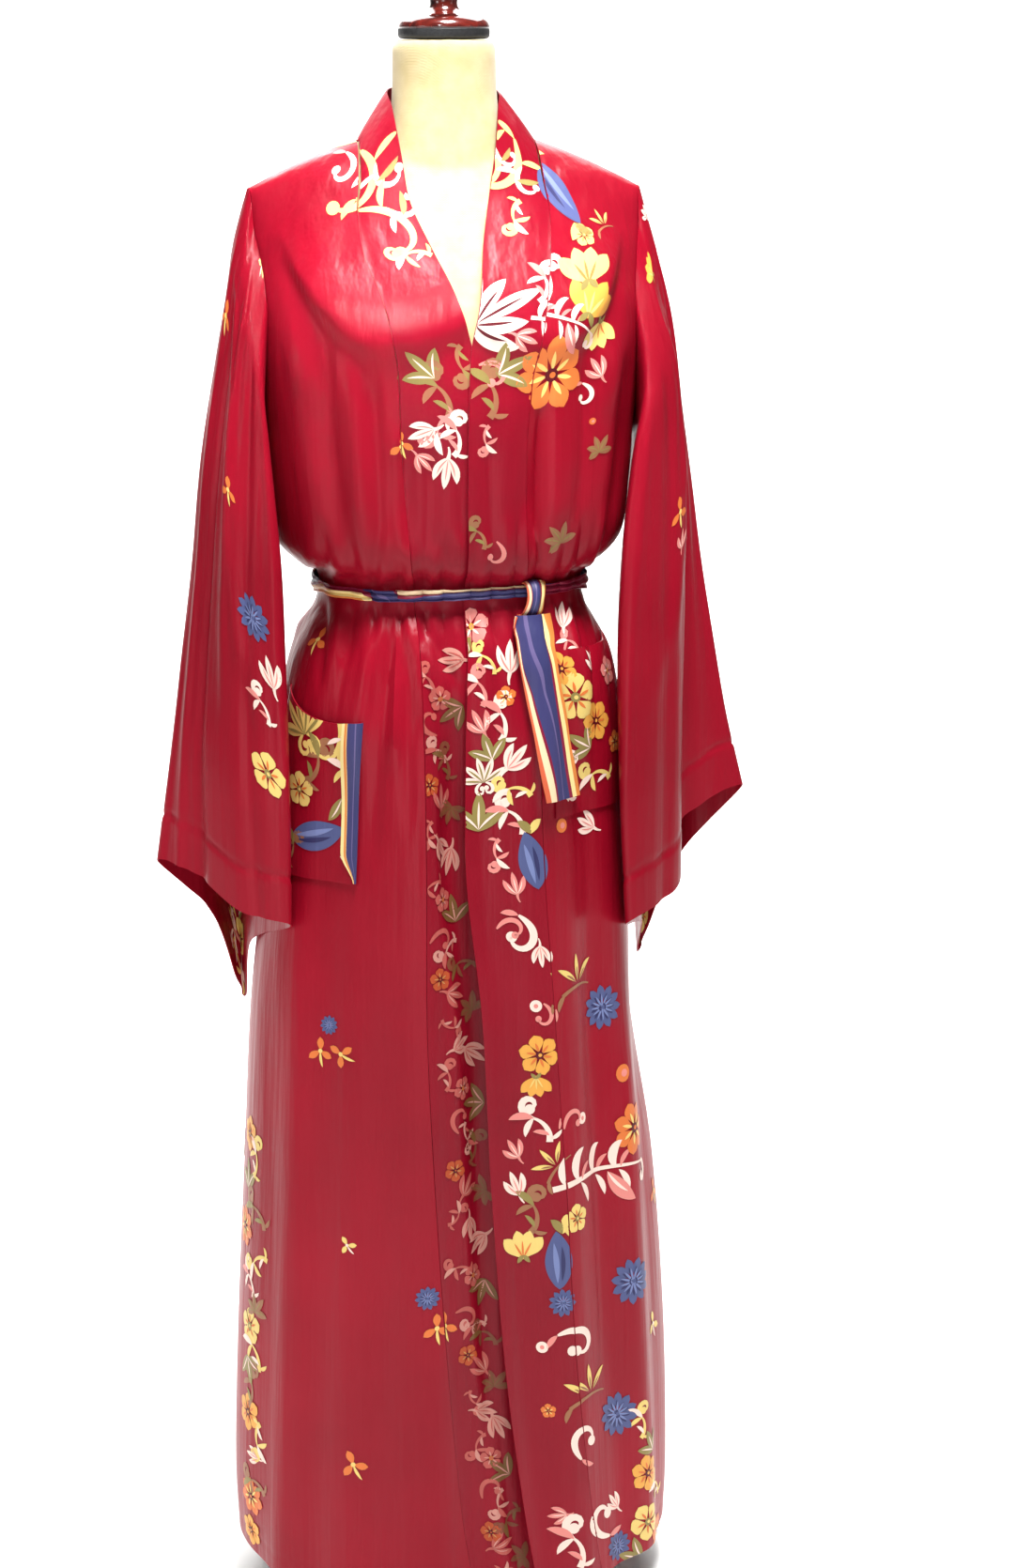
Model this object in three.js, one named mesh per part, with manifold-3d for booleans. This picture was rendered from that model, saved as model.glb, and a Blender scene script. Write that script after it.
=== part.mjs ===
import * as THREE from 'three';
import { mergeVertices } from 'three/addons/utils/BufferGeometryUtils.js';
import Module from 'manifold-3d';

const wasm = await Module();
wasm.setup();

// A long satin kimono robe, tied with its belt on a limbless dress form.
// Millimetres, +Z up, the front faces -Y. Right and left are the wearer's, so
// the right side is at -X. The origin is under the middle of the base.

const clothWall = 1.5;
const seamGap = 0.3;
const sideRoundness = 0.87;
const shoulderSlope = 1.6;

const lapLift = 3.2;
const beltLift = 2.3;
const pocketLift = 3.1;
const pocketTrimLift = 5.2;
const tailLift = 8.2;
const armholeLift = 2.4;

const ridgePlace = 0;
const underarmPlace = 9;
const beltTopPlace = 13;
const beltBottomPlace = 14;
const hemPlace = 23;
const formBottomPlace = 18;
const shoulderTipInset = 7;

// A row for each level of the robe's body from the shoulder ridge to the hem.
// z: height at the middle, drop: how much lower the side is, right/left: reach of
// the side seams, front/back: depth, armhole: half depth of the armhole there,
// form: how far inside the cloth the dress form lies, rightSeam/rightEdge and
// leftEdge/leftSeam: x of each neckband's seam and free edge on the fronts.
const bodyLevels = [
  { z: 1482, drop: 62, right: 187, left: 187, front: 0, back: 0, armhole: 0, form: 1.3,
    rightSeam: -84, rightEdge: -54, leftEdge: 50, leftSeam: 84 },
  { z: 1478, drop: 62, right: 187, left: 187, front: 16, back: 22, armhole: 4, form: 3.6,
    rightSeam: -84, rightEdge: -52, leftEdge: 46, leftSeam: 84 },
  { z: 1466, drop: 62, right: 187, left: 187, front: 32, back: 44, armhole: 9, form: 6,
    rightSeam: -85, rightEdge: -50, leftEdge: 40, leftSeam: 85 },
  { z: 1445, drop: 62, right: 187, left: 187, front: 50, back: 62, armhole: 15, form: 7,
    rightSeam: -87, rightEdge: -47, leftEdge: 36, leftSeam: 86 },
  { z: 1415, drop: 52, right: 187, left: 187, front: 70, back: 76, armhole: 26, form: 8,
    rightSeam: -90, rightEdge: -42, leftEdge: 30, leftSeam: 88 },
  { z: 1370, drop: 34, right: 186, left: 186, front: 96, back: 88, armhole: 40, form: 8,
    rightSeam: -86, rightEdge: -26, leftEdge: 20, leftSeam: 83 },
  { z: 1325, drop: 18, right: 184, left: 184, front: 118, back: 96, armhole: 50, form: 8,
    rightSeam: -72, rightEdge: -8, leftEdge: 13, leftSeam: 74 },
  { z: 1275, drop: 6, right: 183, left: 183, front: 130, back: 102, armhole: 48, form: 9,
    rightSeam: -63, rightEdge: 8, leftEdge: 4, leftSeam: 64 },
  { z: 1235, drop: 0, right: 181, left: 181, front: 132, back: 105, armhole: 34, form: 14,
    rightSeam: -61, rightEdge: 16, leftEdge: 2, leftSeam: 59 },
  { z: 1195, drop: 0, right: 178, left: 178, front: 131, back: 107, armhole: 0, form: 20,
    rightSeam: -60, rightEdge: 20, leftEdge: 1, leftSeam: 56 },
  { z: 1150, drop: 0, right: 175, left: 175, front: 129, back: 109, armhole: 0, form: 26,
    rightSeam: -57, rightEdge: 22, leftEdge: 1, leftSeam: 56 },
  { z: 1100, drop: 0, right: 169, left: 169, front: 126, back: 112, armhole: 0, form: 29,
    rightSeam: -52, rightEdge: 22, leftEdge: 1, leftSeam: 56 },
  { z: 1076, drop: 0, right: 151, left: 151, front: 119, back: 106, armhole: 0, form: 24,
    rightSeam: -49, rightEdge: 22, leftEdge: 1, leftSeam: 57 },
  { z: 1062, drop: 0, right: 127, left: 130, front: 106, back: 96, armhole: 0, form: 12,
    rightSeam: -46, rightEdge: 22, leftEdge: 1, leftSeam: 58 },
  { z: 1034, drop: 0, right: 127, left: 129, front: 106, back: 96, armhole: 0, form: 12,
    rightSeam: -45, rightEdge: 22, leftEdge: 0, leftSeam: 60 },
  { z: 1010, drop: 0, right: 139, left: 142, front: 117, back: 106, armhole: 0, form: 17,
    rightSeam: -43, rightEdge: 22, leftEdge: 0, leftSeam: 62 },
  { z: 975, drop: 0, right: 154, left: 158, front: 127, back: 118, armhole: 0, form: 20,
    rightSeam: -42, rightEdge: 23, leftEdge: 0, leftSeam: 64 },
  { z: 900, drop: 0, right: 169, left: 170, front: 134, back: 129, armhole: 0, form: 20,
    rightSeam: -41, rightEdge: 23, leftEdge: -2, leftSeam: 66 },
  { z: 780, drop: 0, right: 180, left: 175, front: 141, back: 135, armhole: 0, form: 22,
    rightSeam: -41, rightEdge: 24, leftEdge: -3, leftSeam: 70 },
  { z: 630, drop: 0, right: 198, left: 181, front: 146, back: 140, armhole: 0, form: 24,
    rightSeam: -42, rightEdge: 25, leftEdge: 14, leftSeam: 80 },
  { z: 465, drop: 0, right: 208, left: 205, front: 151, back: 146, armhole: 0, form: 24,
    rightSeam: -36, rightEdge: 30, leftEdge: 21, leftSeam: 90 },
  { z: 290, drop: 0, right: 218, left: 219, front: 156, back: 151, armhole: 0, form: 24,
    rightSeam: -26, rightEdge: 42, leftEdge: 31, leftSeam: 100 },
  { z: 130, drop: -6, right: 224, left: 224, front: 160, back: 156, armhole: 0, form: 24,
    rightSeam: -12, rightEdge: 60, leftEdge: 49, leftSeam: 116 },
  { z: 32, drop: -24, right: 222, left: 223, front: 162, back: 159, armhole: 0, form: 24,
    rightSeam: 4, rightEdge: 78, leftEdge: 66, leftSeam: 132 },
];

// The largest folds. A row runs from topX at height top to bottomX at height
// bottom; height is how far it stands out, toRight and toLeft are its flanks.
const frontFolds = [
  { topX: -44, bottomX: -34, top: 1010, bottom: 32, height: 11, toRight: 52, toLeft: 15 },
  { topX: -10, bottomX: 4, top: 1000, bottom: 32, height: -5, toRight: 26, toLeft: 26 },
  { topX: 60, bottomX: 96, top: 1000, bottom: 32, height: 6, toRight: 26, toLeft: 30 },
  { topX: 110, bottomX: 158, top: 980, bottom: 32, height: -7, toRight: 20, toLeft: 20 },
  { topX: -120, bottomX: -160, top: 940, bottom: 32, height: -5, toRight: 22, toLeft: 24 },
  { topX: -66, bottomX: -58, top: 1250, bottom: 1085, height: -6, toRight: 14, toLeft: 16 },
  { topX: -96, bottomX: -84, top: 1270, bottom: 1085, height: 5, toRight: 18, toLeft: 18 },
  { topX: 66, bottomX: 60, top: 1250, bottom: 1085, height: -5, toRight: 14, toLeft: 14 },
  { topX: 104, bottomX: 92, top: 1270, bottom: 1085, height: 6, toRight: 18, toLeft: 20 },
];
const backFolds = [
  { topX: 0, bottomX: 0, top: 1000, bottom: 32, height: 6, toRight: 34, toLeft: 34 },
  { topX: -52, bottomX: -78, top: 1000, bottom: 32, height: -7, toRight: 22, toLeft: 24 },
  { topX: 56, bottomX: 84, top: 990, bottom: 32, height: -7, toRight: 24, toLeft: 22 },
  { topX: -104, bottomX: -150, top: 980, bottom: 32, height: 7, toRight: 28, toLeft: 26 },
  { topX: 108, bottomX: 152, top: 980, bottom: 32, height: 7, toRight: 26, toLeft: 28 },
  { topX: -40, bottomX: -44, top: 1240, bottom: 1085, height: -5, toRight: 16, toLeft: 18 },
  { topX: 46, bottomX: 40, top: 1260, bottom: 1085, height: -6, toRight: 18, toLeft: 16 },
  { topX: 4, bottomX: 0, top: 1230, bottom: 1085, height: 5, toRight: 20, toLeft: 20 },
];
const foldFade = 110;

// A row for each section of a sleeve below the armhole, down to the cuff. The
// names go once round it: over the top, the front face, the body side, the back.
const sleeveStepsPerPoint = 3;
const sleevePoints = ['outer', 'crease', 'fold', 'front', 'inner', 'back', 'tail'];
const rightSleeveSections = [
  { outer: [200, 0, 1372], crease: [197, -32, 1345], fold: [189, -60, 1295], front: [180, -72, 1235],
    inner: [183, 0, 1180], back: [183, 68, 1240], tail: [193, 50, 1320] },
  { outer: [209, 0, 1318], crease: [206, -40, 1290], fold: [197, -68, 1245], front: [177, -84, 1185],
    inner: [181, 0, 1145], back: [188, 76, 1190], tail: [201, 52, 1270] },
  { outer: [235, -8, 1178], crease: [225, -52, 1160], fold: [208, -80, 1130], front: [171, -96, 1085],
    inner: [178, 0, 1070], back: [194, 84, 1085], tail: [216, 50, 1140] },
  { outer: [247, -10, 1071], crease: [235, -50, 1060], fold: [214, -84, 1035], front: [170, -98, 1000],
    inner: [176, 0, 1000], back: [198, 90, 985], tail: [226, 50, 1035] },
  { outer: [259, -14, 985], crease: [244, -50, 975], fold: [216, -88, 950], front: [168, -102, 910],
    inner: [181, 0, 915], back: [202, 94, 880], tail: [234, 50, 940] },
  { outer: [270, -18, 905], crease: [252, -52, 895], fold: [218, -92, 872], front: [167, -104, 830],
    inner: [189, 0, 830], back: [205, 96, 770], tail: [238, 48, 850] },
  { outer: [288, -20, 783], crease: [256, -52, 778], fold: [212, -95, 748], front: [169, -106, 737],
    inner: [199, 0, 690], back: [201, 84, 606], tail: [231, 42, 705] },
];
const leftSleeveSections = [
  { outer: [203, 0, 1360], crease: [199, -30, 1330], fold: [193, -60, 1285], front: [177, -76, 1235],
    inner: [183, 0, 1180], back: [183, 68, 1240], tail: [195, 50, 1310] },
  { outer: [219, 0, 1286], crease: [212, -32, 1262], fold: [209, -64, 1235], front: [166, -96, 1180],
    inner: [181, 0, 1145], back: [190, 76, 1180], tail: [207, 52, 1240] },
  { outer: [240, 0, 1149], crease: [220, -32, 1135], fold: [213, -72, 1115], front: [156, -106, 1085],
    inner: [178, 0, 1070], back: [196, 84, 1070], tail: [221, 50, 1110] },
  { outer: [252, 0, 1062], crease: [222, -30, 1050], fold: [214, -76, 1035], front: [152, -109, 1000],
    inner: [178, 0, 1000], back: [199, 88, 985], tail: [229, 50, 1020] },
  { outer: [266, 0, 980], crease: [225, -28, 965], fold: [215, -78, 950], front: [152, -112, 915],
    inner: [183, 0, 915], back: [202, 90, 880], tail: [236, 50, 930] },
  { outer: [280, 0, 905], crease: [227, -27, 890], fold: [216, -78, 868], front: [154, -114, 830],
    inner: [189, 0, 830], back: [204, 88, 770], tail: [242, 48, 850] },
  { outer: [298, 0, 830], crease: [228, -25, 801], fold: [216, -78, 751], front: [160, -114, 726],
    inner: [197, 0, 690], back: [207, 62, 641], tail: [241, 40, 745] },
];

// The neckband above the chest: its seam goes round the neck on the body, and
// its free edge stands up beside the neck. A row for each stop from the chest to
// the middle of the back; place and x find the seam, edgeY and edgeZ are of the
// free edge, which stands nearer the neck on the left in front.
const neckStops = [
  { place: 3, x: 87, edgeX: 47, leftEdgeX: 39, edgeY: -50, edgeZ: 1450 },
  { place: 2, x: 85, edgeX: 50, leftEdgeX: 44, edgeY: -33, edgeZ: 1476 },
  { place: 1, x: 84, edgeX: 52, leftEdgeX: 48, edgeY: -16, edgeZ: 1496 },
  { place: 0, x: 83, edgeX: 54, leftEdgeX: 52, edgeY: 2, edgeZ: 1507 },
  { place: 1, x: 72, edgeX: 50, leftEdgeX: 50, edgeY: 26, edgeZ: 1511 },
  { place: 2, x: 50, edgeX: 38, leftEdgeX: 38, edgeY: 46, edgeZ: 1513 },
  { place: 2.5, x: 26, edgeX: 21, leftEdgeX: 21, edgeY: 58, edgeZ: 1514 },
];
const neckBack = { place: 2.6, edgeY: 61, edgeZ: 1515 };
const neckSeamInset = 2.6;
const nearRidge = 0.01;
const bandShares = [0, 0.25, 0.5, 0.75, 1];
const bandCrown = 1.2;

const pockets = [
  { name: 'right_pocket', side: -1, inner: 32, outer: 76, top: 950, bottom: 778, trimWidth: 9 },
  { name: 'left_pocket', side: 1, inner: 24, outer: 74, top: 1000, bottom: 838, trimWidth: 6 },
];

const tail = { topX: 64, bottomX: 90, halfTop: 13, halfBottom: 20, top: 1029, bottom: 856, liftAtKnot: 14 };
const beltMargin = 0.08;
const knot = { x: 66, z: 1047, wide: 21, deep: 9, high: 15, lift: 13.9 };

const neckSections = [
  { z: 1380, wide: 60, deep: 46, y: 2 },
  { z: 1440, wide: 62, deep: 48, y: 2 },
  { z: 1466, wide: 57, deep: 48, y: 2 },
  { z: 1490, wide: 51, deep: 48, y: 3 },
  { z: 1515, wide: 49, deep: 47, y: 4 },
  { z: 1546, wide: 48.5, deep: 47, y: 5 },
  { z: 1556, wide: 47, deep: 45.5, y: 5 },
];
const capRadius = 43;
const capEdge = 12;
const capThick = 26;
const knobNeck = 13;
const knobRadius = 20;
const knobHeight = 50;

const baseRadius = 132;
const baseEdge = 14;
const baseHub = 30;
const poleRadius = 12.5;

const satin = new THREE.MeshStandardMaterial({ color: 0xa3203a, roughness: 0.38, metalness: 0 });
const bandSatin = new THREE.MeshStandardMaterial({ color: 0x93182f, roughness: 0.38, metalness: 0 });
const stripedSatin = new THREE.MeshStandardMaterial({ color: 0x39416f, roughness: 0.4, metalness: 0 });
const linen = new THREE.MeshStandardMaterial({ color: 0xe9e0c6, roughness: 0.85, metalness: 0 });
const wood = new THREE.MeshStandardMaterial({ color: 0x4a1a12, roughness: 0.3, metalness: 0 });
const steel = new THREE.MeshStandardMaterial({ color: 0x777777, roughness: 0.35, metalness: 0.9 });
const blackIron = new THREE.MeshStandardMaterial({ color: 0x222222, roughness: 0.5, metalness: 0.6 });

const root = new THREE.Group();

// A column of a table at a place between its rows, on a smooth curve.
function columnAt(rows, name, place) {
  const last = rows.length - 1;
  const i = Math.min(Math.floor(place), last - 1);
  const t = place - i;
  const a = rows[Math.max(i - 1, 0)][name];
  const b = rows[i][name];
  const c = rows[i + 1][name];
  const d = rows[Math.min(i + 2, last)][name];
  const bend = (2 * a - 5 * b + 4 * c - d) * t * t + (3 * b - 3 * c + d - a) * t ** 3;
  return b + ((c - a) * t + bend) / 2;
}

function bodyColumn(name, place) {
  return columnAt(bodyLevels, name, place);
}

// The smooth form of the robe's body. Angle 0 is the middle of the front, 90 the
// left side seam, 180 the middle of the back.
function bodyPoint(angle, place) {
  const turn = THREE.MathUtils.degToRad(angle);
  const across = Math.sin(turn);
  const ahead = Math.cos(turn);
  const reach = bodyColumn(across < 0 ? 'right' : 'left', place);
  const depth = bodyColumn(ahead > 0 ? 'front' : 'back', place);
  const share = Math.abs(across) ** sideRoundness;
  const x = reach * Math.sign(across) * share;
  const y = -depth * Math.sign(ahead) * Math.abs(ahead) ** sideRoundness;
  const z = bodyColumn('z', place) - bodyColumn('drop', place) * share ** shoulderSlope;
  return new THREE.Vector3(x, y, z);
}

function surfaceNormal(pointAt, angle, place) {
  const turn = 0.5;
  const step = 0.05;
  const above = Math.max(place - step, ridgePlace);
  const below = Math.min(place + step, hemPlace);
  const offRidge = Math.max(place, step);
  const down = pointAt(angle, below).sub(pointAt(angle, above));
  const round = pointAt(angle + turn, offRidge).sub(pointAt(angle - turn, offRidge));
  const normal = down.cross(round);
  if (place === ridgePlace) {
    normal.y = 0;
  }
  return normal.normalize();
}

function foldHeight(x, y, z) {
  const folds = y < 0 ? frontFolds : backFolds;
  let height = 0;
  for (const fold of folds) {
    const t = THREE.MathUtils.clamp((fold.top - z) / (fold.top - fold.bottom), 0, 1);
    const off = x - THREE.MathUtils.lerp(fold.topX, fold.bottomX, t);
    const flank = off < 0 ? fold.toRight : fold.toLeft;
    const fadeIn = THREE.MathUtils.smoothstep(fold.top - z, 0, foldFade);
    const endsAtHem = fold.bottom <= bodyLevels[hemPlace].z;
    const fadeOut = endsAtHem ? 1 : THREE.MathUtils.smoothstep(z - fold.bottom, 0, foldFade / 2);
    height += fold.height * Math.exp(-((off / flank) ** 2)) * fadeIn * fadeOut;
  }
  return height;
}

function clothPoint(angle, place) {
  const point = bodyPoint(angle, place);
  const height = foldHeight(point.x, point.y, point.z);
  return point.addScaledVector(surfaceNormal(bodyPoint, angle, place), height);
}

function clothNormal(angle, place) {
  return surfaceNormal(clothPoint, angle, place);
}

// The left front laps over the right one, and meets the back at its side seam.
function lapAt(angle, place) {
  const overChest = THREE.MathUtils.smoothstep(place, 3, 6);
  return lapLift * overChest * (1 - THREE.MathUtils.smoothstep(angle, 35, 75));
}

function frontAngle(x, place) {
  const reach = bodyColumn(x < 0 ? 'right' : 'left', place);
  const across = (Math.abs(x) / reach) ** (1 / sideRoundness);
  return Math.sign(x) * THREE.MathUtils.radToDeg(Math.asin(across));
}

function armholeAngle(place, depthName) {
  const open = Math.max(bodyColumn('armhole', place), 0);
  if (open === 0) {
    return 90;
  }
  const ahead = (open / bodyColumn(depthName, place)) ** (1 / sideRoundness);
  const angle = THREE.MathUtils.radToDeg(Math.acos(ahead));
  return depthName === 'front' ? angle : 180 - angle;
}

// A spot is a point of the cloth's middle surface and its outward normal.
function spotAt(angle, place, lift) {
  const normal = clothNormal(angle, place);
  return { point: clothPoint(angle, place).addScaledVector(normal, lift), normal };
}

// As spotAt, but moved out level, past the lap of the left front.
function levelSpot(angle, place, lift) {
  const normal = clothNormal(angle, place).setZ(0).normalize();
  const lap = angle > 0 ? lapAt(angle, place) : lapLift * THREE.MathUtils.smoothstep(angle, -45, -15);
  return { point: clothPoint(angle, place).addScaledVector(normal, lap + lift), normal };
}

function makeSolid(name, vertices, faces, material) {
  const positions = [];
  for (const face of faces) {
    for (const i of face) {
      positions.push(vertices[i].x, vertices[i].y, vertices[i].z);
    }
  }
  const geometry = new THREE.BufferGeometry();
  geometry.setAttribute('position', new THREE.Float32BufferAttribute(positions, 3));
  geometry.computeVertexNormals();
  return addMesh(name, geometry, material);
}

function addMesh(name, geometry, material) {
  const mesh = new THREE.Mesh(geometry, material);
  mesh.name = name;
  root.add(mesh);
  return mesh;
}

// Moves the border of a grid of spots back by half a seam gap.
function pullBackBorder(grid) {
  const rows = grid.length;
  const columns = grid[0].length;
  const moved = grid.map((row) => row.map((spot) => spot.point.clone()));
  for (let i = 0; i < rows; i++) {
    for (let j = 0; j < columns; j++) {
      const nextI = i === 0 ? 1 : i === rows - 1 ? rows - 2 : i;
      const nextJ = j === 0 ? 1 : j === columns - 1 ? columns - 2 : j;
      const alongRow = grid[i][nextJ].point.clone().sub(grid[i][j].point);
      const alongColumn = grid[nextI][j].point.clone().sub(grid[i][j].point);
      moved[i][j].addScaledVector(alongRow.normalize(), seamGap / 2);
      moved[i][j].addScaledVector(alongColumn.normalize(), seamGap / 2);
    }
  }
  return grid.map((row, i) => row.map((spot, j) => ({ point: moved[i][j], normal: spot.normal })));
}

// A wall of cloth on a grid of spots, or on rings of them when closed is true.
function clothSheet(name, grid, material, closed = false, wall = clothWall) {
  const rows = grid.length;
  const columns = grid[0].length;
  const vertices = [];
  for (const side of [1, -1]) {
    for (const row of grid) {
      for (const spot of row) {
        vertices.push(spot.point.clone().addScaledVector(spot.normal, (side * wall) / 2));
      }
    }
  }
  const outer = (i, j) => i * columns + (j % columns);
  const inner = (i, j) => rows * columns + outer(i, j);
  const faces = [];
  const quad = (a, b, c, d) => faces.push([a, b, c], [a, c, d]);
  const spans = closed ? columns : columns - 1;
  for (let i = 0; i < rows - 1; i++) {
    for (let j = 0; j < spans; j++) {
      quad(outer(i, j), outer(i + 1, j), outer(i + 1, j + 1), outer(i, j + 1));
      quad(inner(i, j), inner(i, j + 1), inner(i + 1, j + 1), inner(i + 1, j));
    }
  }
  for (let j = 0; j < spans; j++) {
    quad(outer(0, j), outer(0, j + 1), inner(0, j + 1), inner(0, j));
    quad(outer(rows - 1, j), inner(rows - 1, j), inner(rows - 1, j + 1), outer(rows - 1, j + 1));
  }
  if (!closed) {
    for (let i = 0; i < rows - 1; i++) {
      quad(outer(i, 0), inner(i, 0), inner(i + 1, 0), outer(i + 1, 0));
      const last = columns - 1;
      quad(outer(i, last), outer(i + 1, last), inner(i + 1, last), inner(i, last));
    }
  }
  return makeSolid(name, vertices, faces, material);
}

// Body panels.

function places(from, to, steps) {
  return Array.from({ length: steps + 1 }, (_, i) => THREE.MathUtils.lerp(from, to, i / steps));
}

function frontPanel(name, seamColumn, side, columns) {
  const grid = places(ridgePlace, hemPlace, hemPlace).map((place) => {
    const seam = frontAngle(bodyColumn(seamColumn, place), place);
    const edge = side * armholeAngle(place, 'front');
    const from = side < 0 ? edge : seam;
    const to = side < 0 ? seam : edge;
    return places(from, to, columns).map((angle) => {
      return spotAt(angle, place, side < 0 ? 0 : lapAt(angle, place));
    });
  });
  clothSheet(name, pullBackBorder(grid), satin);
}

function backPanel(columns) {
  const neckEdge = 84;
  const grid = places(ridgePlace, hemPlace, hemPlace).map((row) => {
    return places(0, 1, columns).map((s) => {
      const across = Math.sin(THREE.MathUtils.degToRad(90 - 180 * s));
      const x = bodyColumn('left', ridgePlace) * across;
      const scoop = Math.max(1 - (x / neckEdge) ** 2, 0);
      const belowNeck = Math.min(row / underarmPlace, 1);
      const place = row + neckBack.place * scoop * (1 - belowNeck);
      const edge = armholeAngle(place, 'back');
      return spotAt(THREE.MathUtils.lerp(edge, 360 - edge, s), place, 0);
    });
  });
  clothSheet('back', pullBackBorder(grid), satin);
}

// Sleeves.

function armholeSpot(side, place, depthName) {
  const angle = side * armholeAngle(place, depthName);
  const spot = spotAt(angle, place, armholeLift);
  spot.point.x += side * armholeLift;
  return spot.point;
}

function sleeve(nodeName, side, sections) {
  const around = sleevePoints.length * sleeveStepsPerPoint;
  const bottomIndex = sleevePoints.indexOf('inner') * sleeveStepsPerPoint;
  const armhole = [];
  for (let i = 0; i < around; i++) {
    const onFront = i <= bottomIndex;
    const share = onFront ? i / bottomIndex : (around - i) / (around - bottomIndex);
    armhole.push(armholeSpot(side, underarmPlace * share, onFront ? 'front' : 'back'));
  }
  const rings = [armhole];
  for (const place of places(0, sections.length - 1, 2 * (sections.length - 1))) {
    const corners = sleevePoints.map((name) => {
      const spots = sections.map((row) => ({ x: row[name][0], y: row[name][1], z: row[name][2] }));
      const [x, y, z] = ['x', 'y', 'z'].map((axis) => columnAt(spots, axis, place));
      return new THREE.Vector3(side * x, y, z);
    });
    const curve = new THREE.CatmullRomCurve3(corners, true, 'centripetal');
    rings.push(Array.from({ length: around }, (_, i) => curve.getPoint(i / around)));
  }
  clothSheet(nodeName, ringSpots(rings, side), satin, true);
}

function ringSpots(rings, side) {
  const around = rings[0].length;
  const ordered = side > 0 ? rings.map((ring) => [ring[0], ...ring.slice(1).reverse()]) : rings;
  return ordered.map((ring, i) => ring.map((point, j) => {
    const above = ordered[Math.max(i - 1, 0)][j];
    const below = ordered[Math.min(i + 1, ordered.length - 1)][j];
    const before = ring[(j + around - 1) % around];
    const after = ring[(j + 1) % around];
    const down = below.clone().sub(above);
    const normal = down.cross(after.clone().sub(before)).normalize();
    return { point: point.clone(), normal };
  }));
}

// Neckband, one strip from hem to hem round the back of the neck.

function bandRow(edge, seam, normal) {
  return bandShares.map((share) => {
    const crown = 4 * share * (1 - share) * bandCrown;
    return { point: edge.clone().lerp(seam, share).addScaledVector(normal, crown), normal };
  });
}

function frontBandRow(side, place) {
  const edgeX = bodyColumn(side < 0 ? 'rightEdge' : 'leftEdge', place);
  const seamX = bodyColumn(side < 0 ? 'rightSeam' : 'leftSeam', place);
  return bandShares.map((share) => {
    const inset = share === 1 ? side * seamGap : 0;
    const angle = frontAngle(THREE.MathUtils.lerp(edgeX, seamX, share) - inset, place);
    return spotAt(angle, place, side < 0 ? 0 : lapAt(angle, place));
  });
}

function neckBandRow(side, stop, onFront) {
  const place = Math.max(stop.place, nearRidge);
  const front = frontAngle(stop.x, place);
  const angle = onFront ? front : 180 - front;
  const seam = spotAt(side * angle, place, 0);
  const edgeX = side < 0 ? -stop.edgeX : stop.leftEdgeX;
  const edge = new THREE.Vector3(edgeX, stop.edgeY, stop.edgeZ);
  const inward = edge.clone().sub(seam.point).normalize();
  seam.point.addScaledVector(inward, neckSeamInset);
  const along = new THREE.Vector3(0, 0, 1).cross(inward);
  const normal = inward.clone().cross(along).normalize();
  if (normal.z < 0) {
    normal.negate();
  }
  return bandRow(edge, seam.point, normal);
}

function neckband() {
  const frontPlaces = places(hemPlace, 4, hemPlace - 4);
  const rightRows = frontPlaces.map((place) => frontBandRow(-1, place));
  const leftRows = frontPlaces.map((place) => frontBandRow(1, place)).reverse();
  const rightNeck = neckStops.map((stop, i) => neckBandRow(-1, stop, i < 4));
  const leftNeck = neckStops.map((stop, i) => neckBandRow(1, stop, i < 4)).reverse();
  const middleSeam = spotAt(180, neckBack.place, 0);
  const middleEdge = new THREE.Vector3(0, neckBack.edgeY, neckBack.edgeZ);
  const up = middleEdge.clone().sub(middleSeam.point).normalize();
  middleSeam.point.addScaledVector(up, neckSeamInset);
  const outward = new THREE.Vector3(1, 0, 0).cross(up).negate();
  const middleRow = bandRow(middleEdge, middleSeam.point, outward.y < 0 ? outward.negate() : outward);
  const grid = [...rightRows, ...rightNeck, middleRow, ...leftNeck, ...leftRows];
  clothSheet('neckband', grid, bandSatin);
}

// Pockets and the striped strip along each one's inner edge.

function placeAtHeight(z) {
  let place = hemPlace;
  while (place > beltTopPlace && bodyColumn('z', place) < z) {
    place -= 0.02;
  }
  return place;
}

function pocket({ name, side, inner, outer, top, bottom, trimWidth }) {
  const rows = places(placeAtHeight(top), placeAtHeight(bottom), 8);
  const angles = side < 0 ? places(-outer, -inner, 8) : places(inner, outer, 8);
  const lift = (angle, place) => (side < 0 ? 0 : lapAt(angle, place)) + pocketLift;
  const grid = rows.map((place) => angles.map((angle) => spotAt(angle, place, lift(angle, place))));
  clothSheet(name, grid, satin);
  const trimStart = side < 0 ? -inner - trimWidth : inner;
  const trimAngles = places(trimStart, trimStart + trimWidth, 2);
  const trimLift = pocketTrimLift - pocketLift;
  const trim = rows.map((place) => trimAngles.map((angle) => {
    return spotAt(angle, place, lift(angle, place) + trimLift);
  }));
  clothSheet(`${name}_trim`, trim, stripedSatin);
}

// Belt, its knot and the hanging tail.

function belt() {
  const around = 48;
  const grid = [beltMargin, 1 - beltMargin].map((share) => {
    return Array.from({ length: around }, (_, j) => {
      const angle = -180 + (360 * j) / around;
      const top = levelSpot(angle, beltTopPlace, beltLift);
      const bottom = levelSpot(angle, beltBottomPlace, beltLift);
      return { point: top.point.lerp(bottom.point, share), normal: top.normal.lerp(bottom.normal, share) };
    });
  });
  clothSheet('belt', grid, stripedSatin, true);
}

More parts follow.
